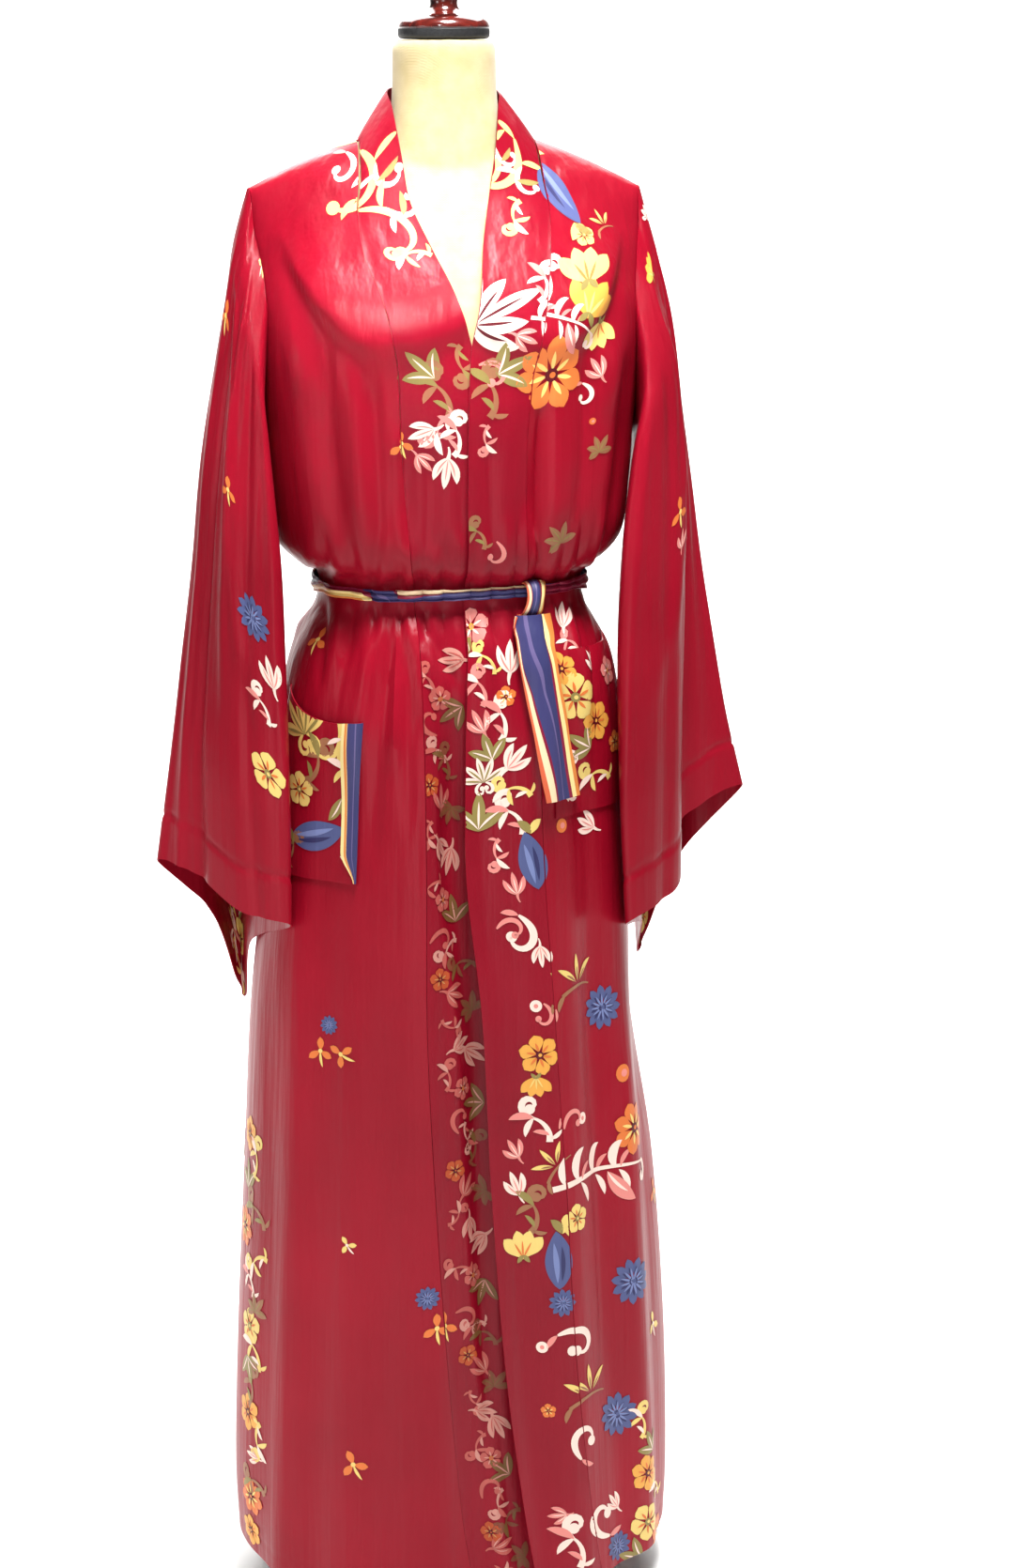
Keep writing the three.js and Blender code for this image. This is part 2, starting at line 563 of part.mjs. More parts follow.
function beltKnot() {
  const geometry = new THREE.SphereGeometry(1, 20, 12);
  geometry.scale(knot.wide, knot.deep, knot.high);
  const place = placeAtHeight(knot.z);
  const angle = frontAngle(knot.x, place);
  const spot = levelSpot(angle, place, knot.lift);
  const mesh = addMesh('belt_knot', geometry, stripedSatin);
  mesh.rotation.z = Math.atan2(spot.normal.x, -spot.normal.y);
  mesh.position.set(spot.point.x, spot.point.y, knot.z);
}

function beltTail() {
  const rows = places(placeAtHeight(tail.top), placeAtHeight(tail.bottom), 10);
  const grid = rows.map((place, i) => {
    const t = i / (rows.length - 1);
    const middle = THREE.MathUtils.lerp(tail.topX, tail.bottomX, t);
    const half = THREE.MathUtils.lerp(tail.halfTop, tail.halfBottom, t);
    const lift = tailLift + (tail.liftAtKnot - tailLift) * (1 - t) ** 4;
    return places(middle - half, middle + half, 2).map((x) => {
      const angle = frontAngle(x, place);
      return levelSpot(angle, place, lift);
    });
  });
  clothSheet('belt_tail', grid, stripedSatin);
}

// Dress form, cap, pole and base.

function stackSolid(rings) {
  const around = rings[0].length;
  const vertices = rings.flat();
  const topIndex = vertices.length;
  const middleOf = (ring) => ring.reduce((sum, p) => sum.add(p), new THREE.Vector3()).divideScalar(around);
  vertices.push(middleOf(rings[0]), middleOf(rings[rings.length - 1]));
  const faces = [];
  for (let i = 0; i < rings.length - 1; i++) {
    for (let j = 0; j < around; j++) {
      const k = (j + 1) % around;
      const [a, b, c, d] = [i * around + j, (i + 1) * around + j, (i + 1) * around + k, i * around + k];
      faces.push([a, b, c], [a, c, d]);
    }
  }
  const lastRing = (rings.length - 1) * around;
  for (let j = 0; j < around; j++) {
    const k = (j + 1) % around;
    faces.push([topIndex, j, k]);
    faces.push([topIndex + 1, lastRing + k, lastRing + j]);
  }
  return { vertices, faces };
}

function toManifold({ vertices, faces }) {
  const geometry = new THREE.BufferGeometry();
  const positions = vertices.flatMap((vertex) => vertex.toArray());
  geometry.setAttribute('position', new THREE.Float32BufferAttribute(positions, 3));
  geometry.setIndex(faces.flat());
  const merged = mergeVertices(geometry, 0.001);
  const mesh = new wasm.Mesh({
    numProp: 3,
    vertProperties: merged.attributes.position.array,
    triVerts: new Uint32Array(merged.index.array),
  });
  mesh.merge();
  return new wasm.Manifold(mesh);
}

function fromManifold(solid) {
  const mesh = solid.getMesh();
  const geometry = new THREE.BufferGeometry();
  geometry.setAttribute('position', new THREE.BufferAttribute(mesh.vertProperties, 3));
  geometry.setIndex(new THREE.BufferAttribute(mesh.triVerts, 1));
  return geometry;
}

function formBody() {
  const around = 32;
  const ridge = 0.02;
  const shell = [ridge, ...places(1, formBottomPlace, formBottomPlace - 1)].map((place) => {
    const inset = bodyColumn('form', place);
    return Array.from({ length: around }, (_, j) => {
      const angle = (360 * j) / around;
      const normal = surfaceNormal(bodyPoint, angle, place);
      const point = bodyPoint(angle, place).addScaledVector(normal, -inset);
      const toTip = (Math.abs(point.x) / bodyLevels[ridgePlace].left) ** 6;
      point.x -= Math.sign(point.x) * shoulderTipInset * toTip;
      return point;
    });
  });
  const bottom = shell[shell.length - 1];
  for (const point of bottom) {
    point.z = bodyLevels[formBottomPlace].z;
  }
  const neck = [...neckSections].reverse().map((row) => Array.from({ length: around }, (_, j) => {
    const turn = (2 * Math.PI * j) / around;
    return new THREE.Vector3(row.wide * Math.sin(turn), row.y - row.deep * Math.cos(turn), row.z);
  }));
  const joined = toManifold(stackSolid(shell)).add(toManifold(stackSolid(neck)));
  addMesh('form_body', fromManifold(joined), linen);
}

function lathed(name, outline, y, z, material, segments) {
  const geometry = new THREE.LatheGeometry(outline.map(([r, h]) => new THREE.Vector2(r, h)), segments);
  geometry.rotateX(Math.PI / 2);
  geometry.translate(0, y, z);
  addMesh(name, geometry, material);
}

function formCap() {
  const neckTop = neckSections[neckSections.length - 1];
  const bottom = neckTop.z + seamGap;
  lathed('form_cap', [
    [0, 0],
    [capRadius - 3, 0],
    [capRadius, 4],
    [capRadius, capEdge],
    [capRadius - 6, capEdge + 6],
    [capRadius - 18, capThick - 3],
    [knobNeck + 2, capThick],
    [knobNeck, capThick + 6],
    [knobRadius - 3, capThick + 18],
    [knobRadius, capThick + 29],
    [knobRadius - 4, capThick + 41],
    [9, knobHeight + capThick - 2],
    [0, knobHeight + capThick],
  ], neckTop.y, bottom, wood, 36);
}

function stand() {
  lathed('stand_base', [
    [0, 0],
    [baseRadius - 2, 0],
    [baseRadius, 2],
    [baseRadius, baseEdge - 3],
    [baseRadius - 5, baseEdge],
    [28, baseHub - 8],
    [20, baseHub],
    [0, baseHub],
  ], 0, 0, blackIron, 48);
  const formBottom = bodyLevels[formBottomPlace].z;
  const length = formBottom - baseHub - 2 * seamGap;
  const geometry = new THREE.CylinderGeometry(poleRadius, poleRadius, length, 24);
  geometry.rotateX(Math.PI / 2);
  const pole = addMesh('stand_pole', geometry, steel);
  pole.position.z = baseHub + seamGap + length / 2;
}

backPanel(24);
frontPanel('right_front', 'rightSeam', -1, 12);
frontPanel('left_front', 'leftSeam', 1, 10);
sleeve('right_sleeve', -1, rightSleeveSections);
sleeve('left_sleeve', 1, leftSleeveSections);
neckband();
pockets.forEach(pocket);
belt();
beltKnot();
beltTail();
formBody();
formCap();
stand();

export default root;
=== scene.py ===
from math import ceil, cos, pi, radians, sin

import bmesh
import bpy
import numpy as np
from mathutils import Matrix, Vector


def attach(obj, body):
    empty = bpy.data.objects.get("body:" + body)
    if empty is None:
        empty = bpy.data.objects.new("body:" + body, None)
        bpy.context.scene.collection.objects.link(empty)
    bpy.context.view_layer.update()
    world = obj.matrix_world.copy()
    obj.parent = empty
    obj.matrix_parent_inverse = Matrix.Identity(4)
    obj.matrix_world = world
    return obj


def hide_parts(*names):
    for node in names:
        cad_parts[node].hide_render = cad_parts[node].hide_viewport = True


# A long crimson satin kimono robe, belted, on a limbless dress form.
# Cloth is worked out in millimetres and turned into metres where a mesh is made.
# Right and left are the wearer's, so the right side is at -X.

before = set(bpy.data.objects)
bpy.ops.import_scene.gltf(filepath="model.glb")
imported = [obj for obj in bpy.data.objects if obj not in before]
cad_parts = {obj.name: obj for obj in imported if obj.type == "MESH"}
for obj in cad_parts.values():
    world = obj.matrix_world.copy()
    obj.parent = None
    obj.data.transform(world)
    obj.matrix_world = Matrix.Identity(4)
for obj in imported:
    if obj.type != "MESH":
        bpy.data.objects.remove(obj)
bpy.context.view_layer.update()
mm = 0.001
scene = bpy.context.scene
print("frame loaded")


# Camera.

cameraSet = {"place": (-0.3925, -2.7926, 1.54), "tiltDown": 13.9, "turn": -9.2, "lens": 67.45}


def makeCamera():
    data = bpy.data.cameras.new("camera")
    data.lens = cameraSet["lens"]
    data.sensor_width = 36
    camera = bpy.data.objects.new("camera", data)
    camera.location = cameraSet["place"]
    camera.rotation_euler = (radians(90 - cameraSet["tiltDown"]), 0, radians(cameraSet["turn"]))
    scene.collection.objects.link(camera)
    scene.camera = camera


makeCamera()


# The robe's form.

bodyNames = ("z", "drop", "right", "left", "front", "back", "armhole", "form",
             "rightSeam", "rightEdge", "leftEdge", "leftSeam")
bodyRows = (
    (1482, 62, 187, 187, 0, 0, 0, 1.3, -84, -54, 50, 84),
    (1478, 62, 187, 187, 16, 22, 4, 3.6, -84, -52, 46, 84),
    (1466, 62, 187, 187, 32, 44, 9, 6, -85, -50, 40, 85),
    (1445, 62, 187, 187, 50, 62, 15, 7, -87, -47, 36, 86),
    (1415, 52, 187, 187, 70, 76, 26, 8, -90, -42, 30, 88),
    (1370, 34, 186, 186, 96, 88, 40, 8, -86, -26, 20, 83),
    (1325, 18, 184, 184, 118, 96, 50, 8, -72, -8, 13, 74),
    (1275, 6, 183, 183, 130, 102, 48, 9, -63, 8, 4, 64),
    (1235, 0, 181, 181, 132, 105, 34, 14, -61, 16, 2, 59),
    (1195, 0, 178, 178, 131, 107, 0, 20, -60, 20, 1, 56),
    (1150, 0, 175, 175, 129, 109, 0, 26, -57, 22, 1, 56),
    (1100, 0, 169, 169, 126, 112, 0, 29, -52, 22, 1, 56),
    (1076, 0, 151, 151, 119, 106, 0, 24, -49, 22, 1, 57),
    (1062, 0, 127, 130, 106, 96, 0, 12, -46, 22, 1, 58),
    (1034, 0, 127, 129, 106, 96, 0, 12, -45, 22, 0, 60),
    (1010, 0, 139, 142, 117, 106, 0, 17, -43, 22, 0, 62),
    (975, 0, 154, 158, 127, 118, 0, 20, -42, 23, 0, 64),
    (900, 0, 169, 170, 134, 129, 0, 20, -41, 23, -2, 66),
    (780, 0, 180, 175, 141, 135, 0, 22, -41, 24, -3, 70),
    (630, 0, 198, 181, 146, 140, 0, 24, -42, 25, 14, 80),
    (465, 0, 208, 205, 151, 146, 0, 24, -36, 30, 21, 90),
    (290, 0, 218, 219, 156, 151, 0, 24, -26, 42, 31, 100),
    (130, -6, 224, 224, 160, 156, 0, 24, -12, 60, 49, 116),
    (32, -24, 222, 223, 162, 159, 0, 24, 4, 78, 66, 132),
)
body = {name: np.array(column, float) for name, column in zip(bodyNames, zip(*bodyRows))}

robe = {
    "wall": 1.2,            # thickness of the satin as it is sewn
    "spacing": 4.5,         # between the mesh points of a panel
    "seamGap": 0.2,
    "sideRoundness": 0.87,
    "shoulderSlope": 1.6,
    "lapLift": 3.2,         # the left front over the right one
    "underarm": 9,          # places down the table above
    "beltTop": 13,
    "beltBottom": 14,
    "hem": 23,
    "nearRidge": 0.02,
}

# The largest folds: topX, bottomX, top, bottom, height, flank to the right, flank to the left.
frontFolds = (
    (-44, -34, 1010, 32, 11, 52, 15),
    (-10, 4, 1000, 32, -5, 26, 26),
    (60, 96, 1000, 32, 6, 26, 30),
    (110, 158, 980, 32, -7, 20, 20),
    (-120, -160, 940, 32, -5, 22, 24),
    (-66, -58, 1250, 1085, -6, 14, 16),
    (-96, -84, 1270, 1085, 5, 18, 18),
    (66, 60, 1250, 1085, -5, 14, 14),
    (104, 92, 1270, 1085, 6, 18, 20),
)
backFolds = (
    (0, 0, 1000, 32, 6, 34, 34),
    (-52, -78, 1000, 32, -7, 22, 24),
    (56, 84, 990, 32, -7, 24, 22),
    (-104, -150, 980, 32, 7, 28, 26),
    (108, 152, 980, 32, 7, 26, 28),
    (-40, -44, 1240, 1085, -5, 16, 18),
    (46, 40, 1260, 1085, -6, 18, 16),
    (4, 0, 1230, 1085, 5, 20, 20),
)
foldFade = 110

# Creases, listed one by one: from x, z to x, z, how far the middle bows, height, half width.
frontCreases = (
    (-150, 1330, -124, 1074, 6, 3.0, 11), (-128, 1300, -108, 1072, 3, -3.2, 8),
    (-108, 1286, -94, 1070, -2, 3.0, 8), (-84, 1266, -77, 1066, 2, -4.2, 7),
    (-66, 1222, -60, 1066, 0, 2.8, 6), (-30, 1200, -34, 1068, 1, -2.0, 7),
    (20, 1210, 24, 1068, 1, -1.8, 8), (70, 1246, 64, 1066, 0, -3.6, 6),
    (88, 1270, 80, 1068, 3, 3.0, 8), (112, 1292, 98, 1072, -3, -3.2, 8),
    (140, 1310, 120, 1076, -5, 3.0, 11), (158, 1290, 138, 1082, -4, -2.2, 9),
    (-166, 1345, -118, 1210, 9, 1.8, 15), (162, 1345, 122, 1205, -9, 1.8, 15),
    (-96, 1444, -152, 1384, 5, 1.3, 12), (98, 1444, 154, 1380, -5, 1.3, 12),
    (-70, 1036, -112, 850, 6, 3.6, 9), (-64, 1036, -92, 770, 3, -3.0, 7),
    (-59, 1036, -70, 880, 1, 4.0, 5), (-55, 1036, -56, 800, 0, -2.8, 6),
    (-50, 1034, -30, 900, 3, 3.6, 6), (-45, 1034, -14, 930, 4, 3.0, 6),
    (-40, 1034, 2, 958, 4, -2.2, 5), (24, 1034, 14, 890, 2, 2.2, 7),
    (66, 1034, 74, 800, 2, 2.6, 8), (80, 1034, 96, 880, 0, -2.6, 7),
    (100, 1034, 124, 840, 3, 2.8, 9), (-96, 1036, -136, 880, 5, -2.6, 8),
    (-104, 930, -132, 60, 6, 2.2, 20), (-82, 700, -92, 140, -4, -1.7, 14),
    (-150, 900, -188, 60, 0, 2.6, 15), (-178, 700, -208, 60, 0, -2.4, 13),
    (-14, 800, -8, 90, 5, 2.6, 9), (4, 700, 12, 60, -4, -2.2, 8),
    (50, 640, 66, 60, 5, -2.0, 16), (84, 560, 112, 60, -3, 2.0, 14),
    (118, 780, 142, 120, 0, -2.4, 15), (150, 860, 188, 60, 0, 3.0, 13),
    (174, 700, 208, 60, 0, -2.6, 12),
)
backCreases = (
    (-142, 1330, -118, 1074, 6, 3.0, 12), (-112, 1300, -98, 1070, -3, -3.0, 9),
    (-86, 1320, -78, 1068, 2, 3.0, 9), (-62, 1250, -58, 1066, 0, -2.8, 7),
    (-22, 1290, -20, 1068, 2, 2.4, 9), (26, 1260, 22, 1066, -2, -2.4, 8),
    (66, 1300, 60, 1068, 3, 3.2, 8), (92, 1320, 80, 1070, -3, -3.0, 8),
    (118, 1330, 104, 1074, 4, 2.8, 10), (146, 1320, 126, 1076, 5, -2.6, 10),
    (-160, 1360, -60, 1300, 10, 1.6, 16), (158, 1362, 54, 1306, -10, 1.6, 16),
    (-104, 1036, -136, 800, 4, 3.2, 9), (-78, 1036, -92, 740, 2, -3.0, 8),
    (-48, 1036, -54, 860, 2, 3.4, 7), (-20, 1036, -16, 760, -2, -2.6, 8),
    (12, 1036, 18, 840, 2, 3.2, 7), (40, 1036, 50, 720, 2, -3.0, 8),
    (74, 1036, 92, 800, -2, 3.4, 8), (104, 1036, 132, 780, 3, -2.8, 9),
    (-34, 800, -40, 60, 6, 2.4, 16), (-116, 860, -126, 60, 4, -2.6, 16),
    (30, 760, 36, 60, -6, 2.4, 16), (122, 880, 124, 60, -4, -2.4, 15),
    (-150, 640, -184, 60, 0, 2.6, 14), (160, 660, 190, 60, 0, 2.4, 14),
)
creaseFade = 0.22
creaseRelief = 1.45

gathers = {"from": -132, "to": 132, "step": 10.5, "height": (1.1, 2.5), "halfWidth": (3.2, 5.6),
           "up": (34, 105), "down": (46, 150), "splayUp": 1.06, "splayDown": 1.14, "z": 1047}
bustLine = {"apex": 75, "z": 1288, "height": 12, "above": 62, "below": 18, "outer": 0.0135, "inner": 0.004}
hemStitch = {"front": 26, "cuff": 45, "depth": 0.7, "halfWidth": 1.6}


def smooth(value, low=0.0, high=1.0):
    t = np.clip((value - low) / (high - low), 0, 1)
    return t * t * (3 - 2 * t)


def columnAt(column, place):
    # A smooth curve through the rows of a table.
    place = np.asarray(place, float)
    last = len(column) - 1
    i = np.minimum(np.floor(place).astype(int), last - 1)
    t = (place - i).reshape(place.shape + (1,) * (column.ndim - 1))
    a, b = column[np.maximum(i - 1, 0)], column[i]
    c, d = column[i + 1], column[np.minimum(i + 2, last)]
    bend = (2 * a - 5 * b + 4 * c - d) * t**2 + (3 * b - 3 * c + d - a) * t**3
    return b + ((c - a) * t + bend) / 2


def bodyColumn(name, place):
    return columnAt(body[name], place)


def bodyPoint(angle, place):
    # Angle 0 is the middle of the front, 90 the left side seam, 180 the middle of the back.
    turn = np.radians(angle)
    across, ahead = np.sin(turn), np.cos(turn)
    reach = np.where(across < 0, bodyColumn("right", place), bodyColumn("left", place))
    depth = np.where(ahead > 0, bodyColumn("front", place), bodyColumn("back", place))
    share = np.abs(across) ** robe["sideRoundness"]
    x = reach * np.sign(across) * share
    y = -depth * np.sign(ahead) * np.abs(ahead) ** robe["sideRoundness"]
    z = bodyColumn("z", place) - bodyColumn("drop", place) * share ** robe["shoulderSlope"]
    return np.stack([x, y, z], axis=-1)


def unit(vectors):
    return vectors / np.maximum(np.linalg.norm(vectors, axis=-1, keepdims=True), 1e-9)


def surfaceNormal(pointAt, angle, place):
    turn, step = 0.5, 0.05
    offRidge = np.maximum(place, step)
    below = pointAt(angle, np.minimum(place + step, robe["hem"]))
    down = below - pointAt(angle, np.maximum(place - step, 0))
    across = pointAt(angle + turn, offRidge) - pointAt(angle - turn, offRidge)
    normal = np.cross(down, across)
    normal[..., 1] *= smooth(place, 0, 0.2)
    return unit(normal)


def foldHeight(folds, x, z):
    height = np.zeros_like(x)
    for topX, bottomX, top, bottom, rise, toRight, toLeft in folds:
        t = np.clip((top - z) / (top - bottom), 0, 1)
        off = x - (topX + (bottomX - topX) * t)
        flank = np.where(off < 0, toRight, toLeft)
        ends = smooth(top - z, 0, foldFade)
        if bottom > body["z"][-1]:
            ends = ends * smooth(z - bottom, 0, foldFade / 2)
        height += rise * np.exp(-((off / flank) ** 2)) * ends
    return height


def creaseHeight(creases, x, z):
    height = np.zeros_like(x)
    for fromX, fromZ, toX, toZ, bow, rise, halfWidth in creases:
        runX, runZ = toX - fromX, toZ - fromZ
        length = np.hypot(runX, runZ)
        t = ((x - fromX) * runX + (z - fromZ) * runZ) / length**2
        off = ((x - fromX) * runZ - (z - fromZ) * runX) / length - bow * 4 * t * (1 - t)
        toHem = 1 if toZ < 70 else 1 - smooth(t, 1 - 1.6 * creaseFade, 1)
        height += rise * np.exp(-((off / halfWidth) ** 2)) * smooth(t, 0, creaseFade) * toHem
    return height


def waistGathers():
    # Small uneven gathers above and below the belt, one table for each side of the robe.
    chance = np.random.default_rng(11)
    tables = []
    for _ in range(2):
        rows = []
        for x in np.arange(gathers["from"], gathers["to"], gathers["step"]):
            at = x + chance.uniform(-3, 3)
            sign = 1 if len(rows) % 4 < 2 else -1
            for way, splay in (("up", gathers["splayUp"]), ("down", gathers["splayDown"])):
                run = chance.uniform(*gathers[way])
                toZ = gathers["z"] + (run if way == "up" else -run)
                rows.append((at, gathers["z"], at * splay + chance.uniform(-3, 3), toZ,
                             chance.uniform(-2, 2),
                             sign * chance.uniform(*gathers["height"]),
                             chance.uniform(*gathers["halfWidth"])))
        tables.append(tuple(rows))
    return tables


frontGathers, backGathers = waistGathers()


def bustHeight(x, y, z):
    out = np.abs(x) - bustLine["apex"]
    edge = bustLine["z"] + np.where(out > 0, bustLine["outer"], bustLine["inner"]) * out**2
    rise = z - edge
    flank = np.where(rise > 0, bustLine["above"], bustLine["below"])
    return bustLine["height"] * np.exp(-((rise / flank) ** 2)) * smooth(-y, 30, 90)


def clothPoint(angle, place):
    point = bodyPoint(angle, place)
    x, y, z = point[..., 0], point[..., 1], point[..., 2]
    atFront = y < 0
    offSide = smooth(np.abs(y), 0, 30)
    folds = np.where(atFront, foldHeight(frontFolds, x, z), foldHeight(backFolds, x, z))
    front = creaseHeight(frontCreases + frontGathers, x, z)
    back = creaseHeight(backCreases + backGathers, x, z)
    height = folds + creaseRelief * np.where(atFront, front, back) * offSide + bustHeight(x, y, z)
    return point + surfaceNormal(bodyPoint, angle, place) * height[..., None]


def lapAt(angle, place):
    return robe["lapLift"] * smooth(place, 3, 6) * (1 - smooth(angle, 35, 75))


def frontAngle(x, place):
    reach = np.where(x < 0, bodyColumn("right", place), bodyColumn("left", place))
    return np.sign(x) * np.degrees(np.arcsin((np.abs(x) / reach) ** (1 / robe["sideRoundness"])))


def armholeAngle(place, side):
    place = np.maximum(place, robe["nearRidge"])
    opened = np.maximum(bodyColumn("armhole", place), 0)
    angle = np.degrees(np.arccos((opened / bodyColumn(side, place)) ** (1 / robe["sideRoundness"])))
    return angle if side == "front" else 180 - angle


def spotAt(angle, place, lift):
    lift = np.broadcast_to(lift, angle.shape)
    return clothPoint(angle, place) + surfaceNormal(clothPoint, angle, place) * lift[..., None]


def placeAtHeight(z):
    place = np.linspace(robe["hem"], 0, 2301)
    return np.interp(z, bodyColumn("z", place), place)


def evenPlaces(start, end, spacing):
    # Places an even distance apart down the cloth.
    place = np.linspace(start, end, 1200)
    track = bodyPoint(np.full_like(place, 30), place)
    run = np.concatenate([[0], np.cumsum(np.linalg.norm(np.diff(track, axis=0), axis=1))])
    return np.interp(np.linspace(0, run[-1], ceil(run[-1] / spacing) + 1), run, place)


# Meshes of cloth.

def gridNormals(grid, closed=False):
    if closed:
        wide = np.concatenate([grid[:, -1:], grid, grid[:, :1]], axis=1)
        across = wide[:, 2:] - wide[:, :-2]
    else:
        across = np.gradient(grid, axis=1)
    return unit(np.cross(np.gradient(grid, axis=0), across))


def measured(grid, closed):
    # Distance across each row and down the middle column, for weave and print.
    wide = np.concatenate([grid, grid[:, :1]], axis=1) if closed else grid
    steps = np.linalg.norm(np.diff(wide, axis=1), axis=2)
    across = np.concatenate([np.zeros((len(grid), 1)), np.cumsum(steps, axis=1)], axis=1)
    falls = np.linalg.norm(np.diff(wide, axis=0), axis=2)
    down = np.concatenate([np.zeros((1, wide.shape[1])), np.cumsum(falls, axis=0)])
    return across, down


def quadCorners(*corners):
    return np.stack([np.stack(np.broadcast_arrays(*corner), axis=-1) for corner in corners], axis=1)


def lengthwise(down, across):
    # Stripes run down the piece.
    return across


def clothShell(name, grid, material, closed=False, wall=None, stripe=None):
    # A thin closed wall on a grid of points, with a weave map and, on striped cloth, a stripe map.
    wall = robe["wall"] if wall is None else wall
    rows, columns = grid.shape[:2]
    normals = gridNormals(grid, closed)
    across, down = measured(grid, closed)
    i, j = [part.ravel() for part in np.indices((rows - 1, across.shape[1] - 1))]
    top, left = np.arange(across.shape[1] - 1), np.arange(rows - 1)
    lastRow, lastColumn = rows - 1, across.shape[1] - 1
    faces = [
        quadCorners((0, i, j), (0, i + 1, j), (0, i + 1, j + 1), (0, i, j + 1)),
        quadCorners((1, i, j), (1, i, j + 1), (1, i + 1, j + 1), (1, i + 1, j)),
        quadCorners((0, 0, top), (0, 0, top + 1), (1, 0, top + 1), (1, 0, top)),
        quadCorners((0, lastRow, top), (1, lastRow, top), (1, lastRow, top + 1), (0, lastRow, top + 1)),
    ]
    if not closed:
        faces += [
            quadCorners((0, left, 0), (1, left, 0), (1, left + 1, 0), (0, left + 1, 0)),
            quadCorners((0, left, lastColumn), (0, left + 1, lastColumn),
                        (1, left + 1, lastColumn), (1, left, lastColumn)),
        ]
    corners = np.concatenate(faces)
    side, row, column = corners[..., 0], corners[..., 1], corners[..., 2]
    vertices = np.concatenate([(grid + normals * wall / 2).reshape(-1, 3),
                               (grid - normals * wall / 2).reshape(-1, 3)])
    mesh = bpy.data.meshes.new(name)
    mesh.from_pydata((vertices * mm).tolist(), [],
                     (side * rows * columns + row * columns + column % columns).tolist())
    weave = np.stack([across[row, column], down[row, column]], axis=-1) * mm
    mesh.uv_layers.new(name="weave").data.foreach_set("uv", weave.ravel())
    if stripe:
        share = stripe(row / lastRow, column / lastColumn)
        stripeMap = np.stack([share, down[row, column] * mm], axis=-1)
        mesh.uv_layers.new(name="stripe").data.foreach_set("uv", stripeMap.ravel())
    mesh.materials.append(material)
    finishMesh(mesh)
    piece = addPiece(name, mesh)
    panels[name] = {"grid": np.concatenate([grid, grid[:, :1]], axis=1) if closed else grid,
                    "normals": np.concatenate([normals, normals[:, :1]], axis=1) if closed else normals,
                    "across": across, "down": down.mean(axis=1), "closed": closed, "wall": wall}
    return piece


def finishMesh(mesh, sharpFrom=50):
    mesh.polygons.foreach_set("use_smooth", [True] * len(mesh.polygons))
    mesh.set_sharp_from_angle(angle=radians(sharpFrom))
    mesh.update()


def addPiece(name, mesh):
    piece = bpy.data.objects.new(name, mesh)
    scene.collection.objects.link(piece)
    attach(piece, "root")
    return piece


panels = {}


# Finishes.

def nodeTools(name):
    material = bpy.data.materials.new(name)
    material.use_nodes = True
    tree = material.node_tree
    shader = tree.nodes["Principled BSDF"]

    def add(kind, inputs=None, **settings):
        node = tree.nodes.new(kind)
        for key, value in settings.items():
            setattr(node, key, value)
        for key, value in (inputs or {}).items():
            if isinstance(value, bpy.types.NodeSocket):
                tree.links.new(value, node.inputs[key])
            else:
                node.inputs[key].default_value = value
        return node

    return material, tree, shader, add


def linear(red, green, blue):
    # From the 0-255 values of a screen to the renderer's own.
    values = [c / 255 for c in (red, green, blue)]
    return tuple(c / 12.92 if c <= 0.04045 else ((c + 0.055) / 1.055) ** 2.4 for c in values) + (1,)


def satinBump(add, threads, strength, uvName="weave"):
    # Fine threads along the cloth and a faint crumple, as one bump.
    uv = add("ShaderNodeUVMap", uv_map=uvName)
    stretch = add("ShaderNodeMapping", {"Vector": uv.outputs["UV"], "Scale": threads})
    fine = add("ShaderNodeTexNoise", {"Vector": stretch.outputs["Vector"], "Scale": 1.0, "Detail": 2.0})
    place = add("ShaderNodeTexCoord")
    crumple = add("ShaderNodeTexNoise", {"Vector": place.outputs["Object"], "Scale": 38.0, "Detail": 3.0,
                                         "Roughness": 0.55})
    streaks = add("ShaderNodeMapping", {"Vector": place.outputs["Object"], "Scale": (52.0, 52.0, 2.6)})
    fall = add("ShaderNodeTexNoise", {"Vector": streaks.outputs["Vector"], "Scale": 1.0, "Detail": 3.0,
                                      "Roughness": 0.5})
    hang = add("ShaderNodeBump", {"Height": fall.outputs["Fac"], "Strength": 0.6, "Distance": 0.004})
    low = add("ShaderNodeBump", {"Height": crumple.outputs["Fac"], "Strength": 0.22, "Distance": 0.0016,
                                 "Normal": hang.outputs["Normal"]})
    return add("ShaderNodeBump", {"Height": fine.outputs["Fac"], "Strength": strength, "Distance": 0.0003,
                                  "Normal": low.outputs["Normal"]})


def satin(name, shade, bright, roughness=(0.3, 0.4)):
    material, tree, shader, add = nodeTools(name)
    place = add("ShaderNodeTexCoord")
    drift = add("ShaderNodeTexNoise", {"Vector": place.outputs["Object"], "Scale": 5.0, "Detail": 3.0,
                                       "Roughness": 0.5})
    tone = mixColours(add, drift.outputs["Fac"], shade, bright)
    gloss = add("ShaderNodeMapRange", {"Value": drift.outputs["Fac"], "From Min": 0.3, "From Max": 0.7,
                                       "To Min": roughness[0], "To Max": roughness[1]})
    bump = satinBump(add, (2600.0, 260.0, 1.0), 0.12)
    tree.links.new(tone, shader.inputs["Base Color"])
    tree.links.new(gloss.outputs["Result"], shader.inputs["Roughness"])
    tree.links.new(bump.outputs["Normal"], shader.inputs["Normal"])
    shader.inputs["Specular IOR Level"].default_value = 0.18
    shader.inputs["Anisotropic"].default_value = 0.45
    return material


